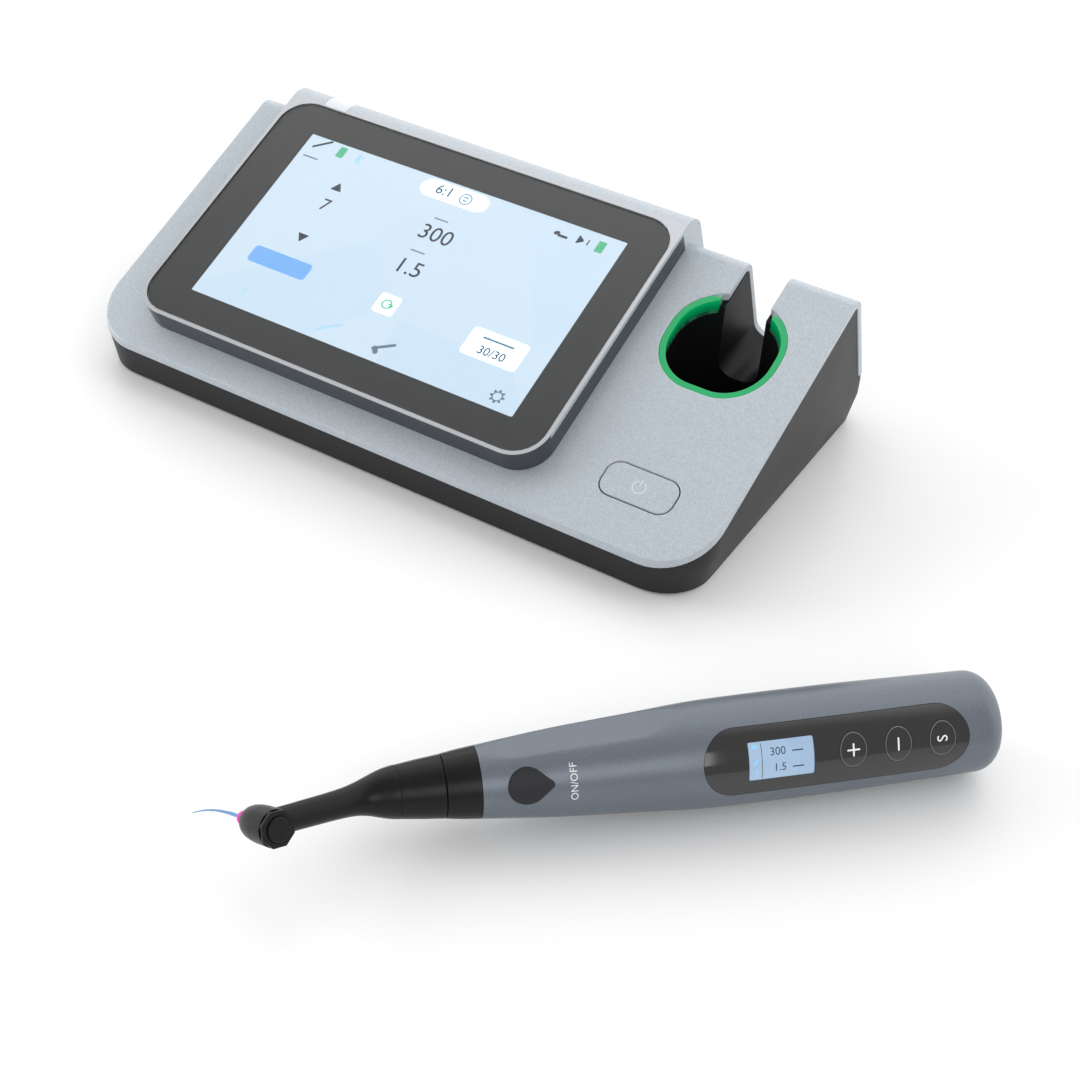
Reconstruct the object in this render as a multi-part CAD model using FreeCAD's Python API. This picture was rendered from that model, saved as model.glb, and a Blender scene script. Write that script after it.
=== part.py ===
import FreeCAD, Part
import math
import os

# Endodontic motor: a desk console with a touch screen and a charging dock, and the cordless
# handpiece with its contra-angle and file, which lies on the table in front of the console.
# Millimetres, +Z up, origin on the table under the middle of the console.

Vector = FreeCAD.Vector
Placement = FreeCAD.Placement
Rotation = FreeCAD.Rotation

# ---------------------------------------------------------------- console, driving sizes
CONSOLE_WIDTH = 210.0
SLOPE_ANGLE = 23.2
SLOPE_LENGTH = 102.3
FRONT_HEIGHT = 13.1
FRONT_CORNER_RADIUS = 17.0
REAR_CORNER_RADIUS = 9.0
COVER_WALL = 2.3
RIDGE_RADIUS = 4.5
SKIRT_FOOT_HEIGHT = 19.0
TUB_WALL = 2.2
TUB_INSET = 0.4
TUB_TAPER = 1.9
TUB_TAPER_HEIGHT = 10.0
PAD_THICKNESS = 0.8
PAD_LENGTH = 150.0
PAD_WIDTH = 70.0
PAD_RADIUS = 8.0
PLATE_THICKNESS = 1.4
PLATE_EDGE_INSET = 0.3
SCREW_RADIUS = 1.5
SCREW_HEAD_RADIUS = 2.8
SCREW_HEAD_THICKNESS = 1.0
SCREW_LENGTH = 7.0
SCREW_INSET = 9.0
SCREW_FRONT_S = 28.0
SCREW_REAR_S = 88.0
BOSS_RADIUS = 5.0
BOSS_HEIGHT = 9.0
SCREW_END_GAP = 1.0
SCREW_SLOT_LENGTH = 2.8
SCREW_SLOT_WIDTH = 0.6
SCREW_SLOT_DEPTH = 0.6

# ---------------------------------------------------------------- clearances
FIT_GAP = 0.1
PRESS_GAP = 0.02
SHAFT_CLEARANCE = 0.05
OVERSHOOT = 1.0
FILLET_SLACK = 0.05
FAR = 300.0

# ---------------------------------------------------------------- screen, driving sizes
GLASS_LEFT = -89.2
GLASS_RIGHT = 49.8
GLASS_FRONT = 10.5
GLASS_REAR = 98.8
GLASS_RADIUS = 9.5
GLASS_THICKNESS = 1.1
GLASS_SINK = 0.1
SCREEN_HEIGHT = 7.9
TRIM_WIDTH = 1.3
TRIM_THICKNESS = 1.5
TRAY_WALL = 2.0
TRAY_FLOOR = 1.2
TRAY_REAR_GAP = 0.5
FRAME_REAR_SETBACK = 2.0
HOOD_BACK_OFFSET = 5.0
HOOD_RADIUS = 8.0
HOOD_WALL = 2.0
WINDOW_X = -74.5
WINDOW_WIDTH = 8.5
WINDOW_SETBACK = 0.4
WINDOW_FOOT = 2.0
DISPLAY_WIDTH = 113.5
DISPLAY_HEIGHT = 67.0
DISPLAY_X = -18.9
DISPLAY_S = 54.6
DISPLAY_THICKNESS = 2.6
DISPLAY_BOARD_INSET = 6.0
DISPLAY_BOARD_GAP = 0.3
DISPLAY_BOARD_THICKNESS = 1.2
RIBBON_WIDTH = 16.0
RIBBON_THICKNESS = 0.3
RIBBON_WINDOW_GAP = 2.0
RIBBON_WINDOW_LENGTH = 8.0
RIBBON_BEND_GAP = 1.0

# ---------------------------------------------------------------- dock, driving sizes
DOCK_X = 77.0
DOCK_S = 71.2
DOCK_LENGTH_X = 35.0
DOCK_LENGTH_Y = 32.0
DOCK_RADIUS = 14.5
SLOT_WIDTH = 13.0
SLOT_FLOOR_HEIGHT = 21.5
SLOT_FLOOR_RADIUS = 5.0
LIGHT_RING_WALL = 1.9
LIGHT_RING_DEPTH = 3.2
LIGHT_RING_SINK = 0.25
LIGHT_BOARD_THICKNESS = 0.8
CUP_WALL = 1.6
CUP_FLOOR_HEIGHT = 7.0
CONTACT_SPACING = 8.0
PIN_RADIUS = 0.9
PIN_FLANGE_RADIUS = 1.3
PIN_FLANGE_THICKNESS = 0.6
PIN_PROUD = 0.8
PIN_TIP_SHARE = 0.6
BLOCK_FLOOR = 0.5
BLOCK_MARGIN = 2.0
BLOCK_WIDTH = 8.0
SPRING_RADIUS = 1.1
SPRING_WALL = 0.15
SPRING_FOLD_DEPTH = 0.25
SPRING_FOLDS = 4

# ---------------------------------------------------------------- power button
BUTTON_X = 78.2
BUTTON_S = 19.4
BUTTON_LENGTH = 22.0
BUTTON_WIDTH = 11.0
BUTTON_RADIUS = 4.0
BUTTON_GAP = 0.35
BUTTON_FLANGE = 1.2
BUTTON_FLANGE_THICKNESS = 0.9
BUTTON_TRAVEL = 0.8
BUTTON_ROOM = 1.0
SWITCH_SIDE = 6.0
SWITCH_HEIGHT = 3.0
SWITCH_GAP = 0.3
PLUNGER_RADIUS = 1.5
PLUNGER_HEIGHT = 0.8
SWITCH_BOARD_THICKNESS = 1.2

# ---------------------------------------------------------------- console inner pieces
BOARD_THICKNESS = 1.6
BOARD_LEFT = -82.0
BOARD_RIGHT = 12.0
BOARD_FRONT = -22.0
BOARD_REAR = 38.0
POST_RADIUS = 2.5
POST_HEIGHT = 3.0
POST_INSET = 5.0
BATTERY_LEFT = 20.0
BATTERY_RIGHT = 54.0
BATTERY_FRONT = -18.0
BATTERY_REAR = 34.0
BATTERY_HEIGHT = 11.0
BATTERY_RADIUS = 3.0
SPEAKER_X = -40.0
SPEAKER_Y = -38.0
SPEAKER_RADIUS = 11.0
SPEAKER_HEIGHT = 3.2
MAGNET_RADIUS = 6.5
MAGNET_HEIGHT = 2.4
SOCKET_X = -60.0
SOCKET_WIDTH = 9.0
SOCKET_HEIGHT = 3.2
SOCKET_DEPTH = 7.0
SOCKET_SHELL = 0.4
SOCKET_BACK_DROP = 46.0
SOCKET_SETBACK = 0.3
SOCKET_ROOM = 5.0
TONGUE_WIDTH = 6.4
TONGUE_THICKNESS = 0.7
TONGUE_SETBACK = 1.2

# ---------------------------------------------------------------- handpiece, driving sizes
HAND_REAR_X = 188.1
HAND_REAR_Y = -63.0
HAND_YAW = 43.8
HAND_ROLL = 32.0
HAND_LENGTH = 126.3
HAND_RADIUS = 12.9
HAND_REAR_RADIUS = 12.3
HAND_REAR_CORNER = 5.5
BELLY_START = 38.0
BELLY_END = 60.0
GRIP_BLEND_LENGTH = 8.0
GRIP_BLEND_DROP = 0.25
GRIP_START = HAND_LENGTH - 42.3
GRIP_RADIUS = 11.9
GRIP_MIDDLE = HAND_LENGTH - 17.7
GRIP_MIDDLE_RADIUS = 10.3
NOSE_RADIUS = 8.45
HAND_WALL = 1.8
REAR_WALL = 2.2
INNER_CORNER = 3.5
PANEL_REAR = 10.4
PANEL_FRONT = 75.7
PANEL_WIDTH = 15.8
PANEL_THICKNESS = 1.2
PANEL_PLAY = 0.08
PANEL_WINDOW_BASE = 4.0
KEY_FIRST = 17.2
KEY_SPACING = 11.2
KEY_LENGTH = 6.9
KEY_WIDTH = 8.6
KEY_TRAVEL = 0.3
KEY_THICKNESS = 0.8
KEY_STEM_RADIUS = 1.0
KEY_STEM_TOP = 12.2
KEY_REST_GAP = 0.1
KEY_WINDOW_INSET = 1.2
KEY_SWITCH_SIDE = 4.4
HAND_DISPLAY_REAR = 49.2
HAND_DISPLAY_FRONT = 65.0
HAND_DISPLAY_WIDTH = 9.0
HAND_DISPLAY_THICKNESS = 1.5
HAND_DISPLAY_DROP = 1.1
HAND_DISPLAY_PLAY = 0.25
ONOFF_CENTRE = HAND_LENGTH - 10.0
ONOFF_RADIUS = 4.3
ONOFF_TIP = ONOFF_CENTRE - 6.5
ONOFF_PROUD = 0.5
ONOFF_TRAVEL = 0.5
ONOFF_TIP_GROWTH = 1.6
ONOFF_TIP_RADIUS = 0.8
ONOFF_BACK_GAP = 0.2
ONOFF_WINDOW_BASE = 2.0
ONOFF_SWITCH_DROP = 2.0
ONOFF_SWITCH_OFFSET = 3.0
ONOFF_SWITCH_SIDE = 4.0
ONOFF_SWITCH_HEIGHT = 1.6
ONOFF_BOARD_LENGTH = 10.0
ONOFF_BOARD_WIDTH = 6.0
ONOFF_BOARD_THICKNESS = 0.8
HAND_BOARD_HEIGHT = 6.8
HAND_BOARD_THICKNESS = 1.0
HAND_BOARD_WIDTH = 13.0
HAND_BOARD_REAR_GAP = 2.0
HAND_BOARD_REACH = 14.0
HAND_SWITCH_HEIGHT = 1.2
CELL_RADIUS = 7.0
CELL_LENGTH = 50.0
CELL_START = 7.5
CELL_DROP = 2.2
CELL_BUTTON_RADIUS = 2.6
CELL_BUTTON_HEIGHT = 1.2
CRADLE_WALL = 1.0
CRADLE_REAR_REACH = 1.0
CRADLE_FRONT_REACH = 3.0
CRADLE_NOTCH_RADIUS = 3.0
CRADLE_TOP = 1.0
MOTOR_RADIUS = 6.5
MOTOR_START = 62.0
MOTOR_LENGTH = 34.0
MOTOR_WALL = 0.8
ROTOR_RADIUS = 4.6
ROTOR_END_GAP = 4.0
MOTOR_SHAFT_RADIUS = 1.0
BEARING_WIDTH = 2.0
BEARING_RADIUS = 3.0
DOG_START = HAND_LENGTH - 14.3
DOG_END = DOG_START + 6.0
DOG_RADIUS = 2.6
DOG_SLOT_WIDTH = 1.6
DOG_SLOT_DEPTH = 2.0
CONTACT_PAD_RADIUS = 1.5
CONTACT_PAD_GAP = 0.2

# ---------------------------------------------------------------- contra-angle, driving sizes
NOSE_RING_LENGTH = 7.9
NOSE_RING_RADIUS = 7.45
NOSE_SPIGOT_LENGTH = 6.0
STUB_RADIUS = 4.1
STUB_WALL = 0.8
STUB_START = DOG_END + 3.0
SWIVEL_CLEARANCE = 0.1
SLEEVE_LENGTH = 10.2
SLEEVE_GAP = 0.15
SLEEVE_RADIUS = 6.2
SLEEVE_LAND = 1.2
BEND_ANGLE = 28.0
BEND_DRAW_IN = 0.55
BEND_WEB = 2.0
BEND_LEAD = 5.65
NECK_LENGTH = 28.6
NECK_RADIUS = 3.2
NECK_END_RADIUS = 3.0
NECK_FLARE_LENGTH = 7.0
NECK_BORE = 2.1
BEND_CAVITY_RADIUS = 3.4
HEAD_GEAR_RADIUS = 2.75
HEAD_BORE = HEAD_GEAR_RADIUS + 0.55
HEAD_RADIUS = HEAD_BORE + 1.0
HEAD_TIP_RADIUS = HEAD_RADIUS - 1.0
HEAD_TAPER_LENGTH = 2.2
HEAD_TAPER = 0.25
HEAD_FLOOR = 1.2
HEAD_ABOVE = 4.4
SPINDLE_DROP = 1.4
SPINDLE_ROOF = 1.0
SPINDLE_GAP = 0.2
HEAD_BELOW = 5.6
CAP_RING_RADIUS = HEAD_RADIUS - 0.3
CAP_RING_THICKNESS = 1.2
CAP_RING_SIDES = 8
CAP_RING_SPIGOT = 1.2
CAP_THREAD_GAP = 0.05
CAP_RADIUS = HEAD_BORE - 0.4
CAP_PLAY = 0.06
CAP_PROUD = 0.5
CAP_EDGE_RADIUS = 0.35
CAP_TRAVEL = 0.6
CARTRIDGE_START = STUB_START + 3.0
CARTRIDGE_LENGTH = 9.0
CARTRIDGE_INPUT_GAP = 0.5
INPUT_RADIUS = 2.2
INPUT_CLEARANCE = 0.2
INPUT_BLADE_START = 0.4
INPUT_BLADE_END = 2.2
INPUT_BLADE_WIDTH = 1.2
INPUT_BLADE_LENGTH = 4.0
DRIVE_SHAFT_INSET = 1.0
DRIVE_SHAFT_RADIUS = 0.9
BEND_GEAR_TEETH = 12
BEND_GEAR_RADIUS = 2.2
BEND_GEAR_FACE = 0.9
PINION_TEETH = 8
HEAD_GEAR_TEETH = 16
HEAD_GEAR_FACE = 0.8
GEAR_BLANK = 0.7
TOOTH_TOP = 0.75
TOOTH_ROOT = 0.95
TOOTH_SINK = 1.05
TOOTH_TIP_HALF = 0.255
TOOTH_FOOT_HALF = 0.628
SHAFT_OVERLAP = 0.2
BUSH_LENGTH = 2.0
BUSH_REAR = 7.0
BUSH_FRONT = 6.5
SPINDLE_RADIUS = 1.7
SHANK_RADIUS = 1.175
SHANK_CLEARANCE = 0.03
HEAD_BEARING_WIDTH = 1.0
HEAD_BEARING_GAP = 0.05

# ---------------------------------------------------------------- file, driving sizes
FILE_SHANK_BELOW = 1.1
FILE_TOP_GAP = 0.3
STOP_RADIUS = 1.65
STOP_THICKNESS = 1.5
STOP_GAP = 0.15
FILE_SHAFT_RADIUS = 0.42
FILE_SHAFT_LENGTH = 7.0
FILE_BLADE_LENGTH = 18.5
FILE_BLADE_BEND = 19.0
FILE_TIP_RADIUS = 0.13
BLADE_STEPS = 5

# ---------------------------------------------------------------- derived places
SIN = math.sin(math.radians(SLOPE_ANGLE))
COS = math.cos(math.radians(SLOPE_ANGLE))
RIDGE_RISE = FRONT_HEIGHT + SLOPE_LENGTH * SIN
CONSOLE_DEPTH = SLOPE_LENGTH * COS + RIDGE_RISE * SIN / COS
Y_FRONT = -CONSOLE_DEPTH / 2
Y_REAR = CONSOLE_DEPTH / 2
HALF_WIDTH = CONSOLE_WIDTH / 2
PLATE_TOP = PAD_THICKNESS + PLATE_THICKNESS
SLOPE = Placement(Vector(0, Y_FRONT, FRONT_HEIGHT), Rotation(Vector(1, 0, 0), SLOPE_ANGLE))
DOCK_Y = Y_FRONT + DOCK_S * COS


def slope_point(x, s, h):
    """The place of a point given across, up the slope and out of it."""
    return SLOPE.multVec(Vector(x, s, h))


def box(x0, x1, y0, y1, z0, z1):
    return Part.makeBox(x1 - x0, y1 - y0, z1 - z0, Vector(x0, y0, z0))


def cylinder(radius, start, end, axis=Vector(0, 0, 1)):
    """A round bar along axis, from start to end along it, through the origin."""
    return Part.makeCylinder(radius, end - start, axis * start, axis)


def rounded_box(x0, x1, y0, y1, z0, z1, radius):
    """A box whose four upright edges are rounded."""
    solid = box(x0, x1, y0, y1, z0, z1)
    upright = [e for e in solid.Edges if abs(e.Vertexes[0].Z - e.Vertexes[1].Z) > 1e-6]
    return solid.makeFillet(radius, upright)


def placed(shape, placement):
    moved = shape.copy()
    moved.Placement = placement.multiply(moved.Placement)
    return moved


def turned(profile):
    """A solid turned about X from (along, radius) points, closed on the axis."""
    points = [Vector(profile[0][0], 0, 0)]
    points += [Vector(w, 0, r) for w, r in profile]
    points += [Vector(profile[-1][0], 0, 0), points[0]]
    face = Part.Face(Part.makePolygon(points))
    return face.revolve(Vector(0, 0, 0), Vector(1, 0, 0), 360)


def ring_x(outer, inner, start, end):
    """A round ring about X."""
    axis = Vector(1, 0, 0)
    bore = cylinder(inner, start - OVERSHOOT, end + OVERSHOOT, axis)
    return cylinder(outer, start, end, axis).cut(bore)


def ring_z(outer, inner, start, end):
    bore = cylinder(inner, start - OVERSHOOT, end + OVERSHOOT)
    return cylinder(outer, start, end).cut(bore)


# ================================================================ console casing

def wedge(slope_out, back_out, radius, x0, x1):
    """The console's bent section, grown out of the slope and out of the back by the given amounts."""
    ridge = slope_point(0, SLOPE_LENGTH + back_out, slope_out)
    front = slope_point(0, -FAR, slope_out)
    back = slope_point(0, SLOPE_LENGTH + back_out, -FAR)
    points = [Vector(x0, p.y, p.z) for p in (front, ridge, back)]
    face = Part.Face(Part.makePolygon(points + [points[0]]))
    solid = face.extrude(Vector(x1 - x0, 0, 0))
    edge = [e for e in solid.Edges
            if all(abs(v.Y - ridge.y) + abs(v.Z - ridge.z) < 0.01 for v in e.Vertexes)]
    return solid.makeFillet(radius, edge)


def dock_prism(grow, z0, z1):
    """The dock's upright outline, grown by an amount."""
    half_x = DOCK_LENGTH_X / 2 + grow
    half_y = DOCK_LENGTH_Y / 2 + grow
    return rounded_box(DOCK_X - half_x, DOCK_X + half_x, DOCK_Y - half_y, DOCK_Y + half_y,
                       z0, z1, DOCK_RADIUS + grow)


def slot_prism(grow, floor_grow):
    """The slot from the dock through the ridge and the back, with a rounded floor."""
    half = SLOT_WIDTH / 2 + grow
    solid = box(DOCK_X - half, DOCK_X + half, DOCK_Y, FAR,
                SLOT_FLOOR_HEIGHT - floor_grow, FAR)
    low = [e for e in solid.Edges
           if all(abs(v.Z - SLOT_FLOOR_HEIGHT + floor_grow) < 1e-6 for v in e.Vertexes)
           and abs(e.Vertexes[0].X - e.Vertexes[1].X) < 1e-6]
    return solid.makeFillet(SLOT_FLOOR_RADIUS + grow, low)


def button_prism(grow, h0, h1):
    half_x = BUTTON_LENGTH / 2 + grow
    half_s = BUTTON_WIDTH / 2 + grow
    return placed(rounded_box(BUTTON_X - half_x, BUTTON_X + half_x, BUTTON_S - half_s,
                              BUTTON_S + half_s, h0, h1, BUTTON_RADIUS + grow), SLOPE)


def ribbon_window():
    """The way for the ribbon through the tray's floor and the cover."""
    half_x = RIBBON_WIDTH / 2 + RIBBON_WINDOW_GAP
    half_s = RIBBON_WINDOW_LENGTH / 2
    return placed(box(DISPLAY_X - half_x, DISPLAY_X + half_x, DISPLAY_S - half_s,
                      DISPLAY_S + half_s, -COVER_WALL - OVERSHOOT, TRAY_FLOOR + OVERSHOOT),
                  SLOPE)


def top_cover():
    """Bent aluminium sheet: the slope, the rounded ridge and the skirt down the back."""
    sheet = wedge(0, 0, RIDGE_RADIUS, -HALF_WIDTH, HALF_WIDTH)
    inner = wedge(-COVER_WALL, -COVER_WALL, RIDGE_RADIUS - COVER_WALL, -FAR, FAR)
    plan = rounded_box(-HALF_WIDTH, HALF_WIDTH, Y_FRONT, Y_REAR + FAR, 0, FAR,
                       FRONT_CORNER_RADIUS)
    sheet = sheet.cut(inner).common(plan)
    below = box(-FAR, FAR, 0, FAR, -FAR, SKIRT_FOOT_HEIGHT)
    holes = [below, dock_prism(0, 0, FAR), slot_prism(FIT_GAP, 0),
             button_prism(BUTTON_GAP, -FAR, FAR), ribbon_window()]
    return sheet.cut(holes)


def tub_plan(inset, z0, z1):
    """The tub's upright outline, drawn in by an amount."""
    half = HALF_WIDTH - inset
    solid = box(-half, half, Y_FRONT + inset, Y_REAR - inset, z0, z1)
    for radius, sign in ((FRONT_CORNER_RADIUS, -1), (REAR_CORNER_RADIUS, 1)):
        edges = [e for e in solid.Edges if abs(e.Vertexes[0].Z - e.Vertexes[-1].Z) > 0.5
                 and e.Vertexes[0].Y * sign > abs(Y_FRONT) - inset - 0.01]
        solid = solid.makeFillet(radius - inset, edges)
    return solid


def foot_taper():
    """What is cut away round the tub's foot, so that it draws in towards the table."""
    def outline(inset, z):
        faces = tub_plan(inset, z, z + OVERSHOOT).Faces
        return [f for f in faces if abs(f.CenterOfMass.z - z) < 1e-6][0].OuterWire

    core = Part.makeLoft([outline(TUB_INSET + TUB_TAPER, PAD_THICKNESS),
                          outline(TUB_INSET, PAD_THICKNESS + TUB_TAPER_HEIGHT)], True, True)
    band = box(-FAR, FAR, -FAR, FAR, PAD_THICKNESS, PAD_THICKNESS + TUB_TAPER_HEIGHT)
    return band.cut(core)


def screw_places():
    half = HALF_WIDTH - SCREW_INSET
    return [Vector(x, Y_FRONT + s * COS, 0) for x in (-half, half)
            for s in (SCREW_FRONT_S, SCREW_REAR_S)]


def socket_placement():
    """The power socket's mouth: on the tub's back plane, opening out of it."""
    mouth = slope_point(SOCKET_X, SLOPE_LENGTH, -SOCKET_BACK_DROP)
    return Placement(mouth, Rotation(Vector(1, 0, 0), SLOPE_ANGLE))


def socket_box(grow, back, front):
    """A flat-sided round-ended block along the socket's own axis."""
    half_x = SOCKET_WIDTH / 2 + grow
    half_z = SOCKET_HEIGHT / 2 + grow
    solid = box(-half_x, half_x, -SOCKET_DEPTH - back, front, -half_z, half_z)
    long_edges = [e for e in solid.Edges if abs(e.Vertexes[0].Y - e.Vertexes[-1].Y) > 1]
    return solid.makeFillet(half_z - FILLET_SLACK, long_edges)


def base_tub():
    """Moulded tub: front, sides and back below the cover, with bosses for the screws."""
    under = wedge(-COVER_WALL, -COVER_WALL, RIDGE_RADIUS - COVER_WALL, -FAR, FAR)
    skirt_foot = SKIRT_FOOT_HEIGHT - FIT_GAP
    foot = wedge(0, 0, RIDGE_RADIUS, -FAR, FAR).common(box(-FAR, FAR, 0, FAR, 0, skirt_foot))
    outside = under.fuse(foot).common(tub_plan(TUB_INSET, PAD_THICKNESS, FAR))
    inside = wedge(OVERSHOOT, -COVER_WALL - TUB_WALL, OVERSHOOT, -FAR, FAR)
    hollow = inside.common(tub_plan(TUB_INSET + TUB_TAPER + TUB_WALL, PAD_THICKNESS, FAR))
    bosses = [Part.makeCylinder(BOSS_RADIUS, BOSS_HEIGHT, Vector(p.x, p.y, PLATE_TOP))
              for p in screw_places()]
    holes = [Part.makeCylinder(SCREW_RADIUS + FIT_GAP, SCREW_LENGTH, Vector(p.x, p.y, 0))
             for p in screw_places()]
    cup_space = CUP_WALL + FIT_GAP
    cuts = holes + [foot_taper(), plate_prism(0), dock_prism(0, 0, FAR),
                    slot_prism(cup_space, cup_space),
                    button_prism(BUTTON_FLANGE + BUTTON_ROOM, -FAR, FAR),
                    placed(socket_box(SOCKET_SHELL + FIT_GAP, SOCKET_ROOM, SOCKET_ROOM),
                           socket_placement())]
    return outside.cut(hollow).fuse(bosses).cut(cuts)


def plate_prism(gap):
    """The base plate's outline, in the tub's foot."""
    return tub_plan(TUB_INSET + TUB_TAPER + PLATE_EDGE_INSET + gap, PAD_THICKNESS, PLATE_TOP)


def base_plate():
    """Pressed steel plate that closes the tub from below."""
    holes = [Part.makeCylinder(SCREW_RADIUS + FIT_GAP, FAR, Vector(p.x, p.y, 0))
             for p in screw_places()]
    holes += [Part.makeCylinder(SCREW_HEAD_RADIUS + FIT_GAP, SCREW_HEAD_THICKNESS + FIT_GAP,
                                Vector(p.x, p.y, PAD_THICKNESS)) for p in screw_places()]
    return plate_prism(FIT_GAP).cut(holes)


def base_screws():
    """Four slotted screws from below, their heads sunk in the plate."""
    half_x = SCREW_SLOT_LENGTH / 2
    half_y = SCREW_SLOT_WIDTH / 2
    bodies = []
    for p in screw_places():
        head = Part.makeCylinder(SCREW_HEAD_RADIUS, SCREW_HEAD_THICKNESS,
                                 Vector(p.x, p.y, PAD_THICKNESS))
        shank = Part.makeCylinder(SCREW_RADIUS, SCREW_LENGTH - PAD_THICKNESS - SCREW_END_GAP,
                                  Vector(p.x, p.y, PAD_THICKNESS))
        slot = box(p.x - half_x, p.x + half_x, p.y - half_y, p.y + half_y, 0,
                   PAD_THICKNESS + SCREW_SLOT_DEPTH)
        bodies.append(head.fuse(shank).cut(slot))
    return Part.makeCompound(bodies)


def grip_pad():
    """Rubber pad under the base plate; the console stands on it."""
    return rounded_box(-PAD_LENGTH / 2, PAD_LENGTH / 2, -PAD_WIDTH / 2, PAD_WIDTH / 2,
                       0, PAD_THICKNESS, PAD_RADIUS)


# ================================================================ screen

def screen_outline(grow, h0, h1, rear):
    """The glass's outline grown by an amount, up to a rear limit, in the slope's frame."""
    solid = box(GLASS_LEFT - grow, GLASS_RIGHT + grow, GLASS_FRONT - grow, rear, h0, h1)
    front = [e for e in solid.Edges if abs(e.Vertexes[0].Z - e.Vertexes[-1].Z) > 0.1
             and e.Vertexes[0].Y < GLASS_FRONT + GLASS_RADIUS]
    return solid.makeFillet(GLASS_RADIUS + grow, front)


def glass_prism(grow, h0, h1):
    return rounded_box(GLASS_LEFT - grow, GLASS_RIGHT + grow, GLASS_FRONT - grow,
                       GLASS_REAR + grow, h0, h1, GLASS_RADIUS + grow)


TRAY_REAR = SLOPE_LENGTH - RIDGE_RADIUS - TRAY_REAR_GAP
FRAME_BASE = SCREEN_HEIGHT - TRIM_THICKNESS


def screen_tray():
    """Graphite moulded tray that carries the display on the slope."""
    outer = screen_outline(TRIM_WIDTH, 0, FRAME_BASE, TRAY_REAR)
    inner = screen_outline(TRIM_WIDTH - TRAY_WALL, TRAY_FLOOR, FAR, TRAY_REAR - TRAY_WALL)
    return placed(outer.cut(inner), SLOPE).cut(ribbon_window())


def screen_bezel():
    """Aluminium bezel: a narrow frame round the glass that widens into a hood over the ridge."""
    x0 = GLASS_LEFT - TRIM_WIDTH
    x1 = GLASS_RIGHT + TRIM_WIDTH
    rear = SLOPE_LENGTH - FRAME_REAR_SETBACK
    opening = glass_prism(FIT_GAP, FRAME_BASE - OVERSHOOT, SCREEN_HEIGHT + OVERSHOOT)
    frame = screen_outline(TRIM_WIDTH, FRAME_BASE, SCREEN_HEIGHT, rear).cut(opening)
    hood = wedge(SCREEN_HEIGHT, HOOD_BACK_OFFSET, HOOD_RADIUS, x0, x1)
    hollow = wedge(SCREEN_HEIGHT - HOOD_WALL, HOOD_BACK_OFFSET - HOOD_WALL,
                   HOOD_RADIUS - HOOD_WALL, x0 + HOOD_WALL, x1 - HOOD_WALL)
    hollow = hollow.common(box(-FAR, FAR, -FAR, FAR, SKIRT_FOOT_HEIGHT + HOOD_WALL, FAR))
    ahead = placed(box(-FAR, FAR, -FAR, TRAY_REAR + FIT_GAP, -FAR, FAR), SLOPE)
    below = box(-FAR, FAR, -FAR, FAR, -FAR, SKIRT_FOOT_HEIGHT)
    inside = wedge(0, 0, RIDGE_RADIUS, -FAR, FAR)
    hood = hood.cut([ahead, below, inside, hollow, placed(opening, SLOPE)])
    return placed(frame, SLOPE).fuse(hood).cut(window_block(FIT_GAP)).removeSplitter()


def window_block(grow):
    """The place of the status window across the hood's ridge."""
    half = WINDOW_WIDTH / 2 + grow
    return placed(box(WINDOW_X - half, WINDOW_X + half, GLASS_REAR + WINDOW_SETBACK - grow, FAR,
                      WINDOW_FOOT - grow, FAR), SLOPE)


def status_window():
    """Translucent light window let into the hood's ridge."""
    outer = wedge(SCREEN_HEIGHT, HOOD_BACK_OFFSET, HOOD_RADIUS, -FAR, FAR)
    inner = wedge(SCREEN_HEIGHT - HOOD_WALL, HOOD_BACK_OFFSET - HOOD_WALL,
                  HOOD_RADIUS - HOOD_WALL, -FAR, FAR)
    return outer.cut(inner).common(window_block(0))


def screen_glass():
    top = SCREEN_HEIGHT - GLASS_SINK
    return placed(glass_prism(0, top - GLASS_THICKNESS, top), SLOPE)


def display_block(grow, h0, h1):
    half_x = DISPLAY_WIDTH / 2 + grow
    half_s = DISPLAY_HEIGHT / 2 + grow
    return placed(box(DISPLAY_X - half_x, DISPLAY_X + half_x, DISPLAY_S - half_s,
                      DISPLAY_S + half_s, h0, h1), SLOPE)


GLASS_UNDER = SCREEN_HEIGHT - GLASS_SINK - GLASS_THICKNESS
DISPLAY_UNDER = GLASS_UNDER - DISPLAY_THICKNESS
DISPLAY_BOARD_TOP = DISPLAY_UNDER - DISPLAY_BOARD_GAP
DISPLAY_BOARD_UNDER = DISPLAY_BOARD_TOP - DISPLAY_BOARD_THICKNESS


def display_panel():
    return display_block(0, DISPLAY_UNDER, GLASS_UNDER)


def display_board():
    return display_block(-DISPLAY_BOARD_INSET, DISPLAY_BOARD_UNDER, DISPLAY_BOARD_TOP)


def display_ribbon():
    """Flat ribbon from the display's board down through the cover to the main board."""
    half = RIBBON_WIDTH / 2
    bottom = slope_point(0, DISPLAY_S, -COVER_WALL - TUB_WALL - RIBBON_BEND_GAP)
    top = slope_point(0, DISPLAY_S, DISPLAY_BOARD_UNDER)
    drop = box(DISPLAY_X - half, DISPLAY_X + half, bottom.y, bottom.y + RIBBON_THICKNESS,
               MAIN_BOARD_TOP, bottom.z)
    lean = Part.Face(Part.makePolygon([
        Vector(DISPLAY_X - half, bottom.y, bottom.z), Vector(DISPLAY_X - half, top.y, top.z),
        Vector(DISPLAY_X - half, top.y + RIBBON_THICKNESS, top.z + RIBBON_THICKNESS * SIN / COS),
        Vector(DISPLAY_X - half, bottom.y + RIBBON_THICKNESS, bottom.z),
        Vector(DISPLAY_X - half, bottom.y, bottom.z)])).extrude(Vector(RIBBON_WIDTH, 0, 0))
    return drop.fuse(lean).removeSplitter()


# ================================================================ dock

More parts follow.
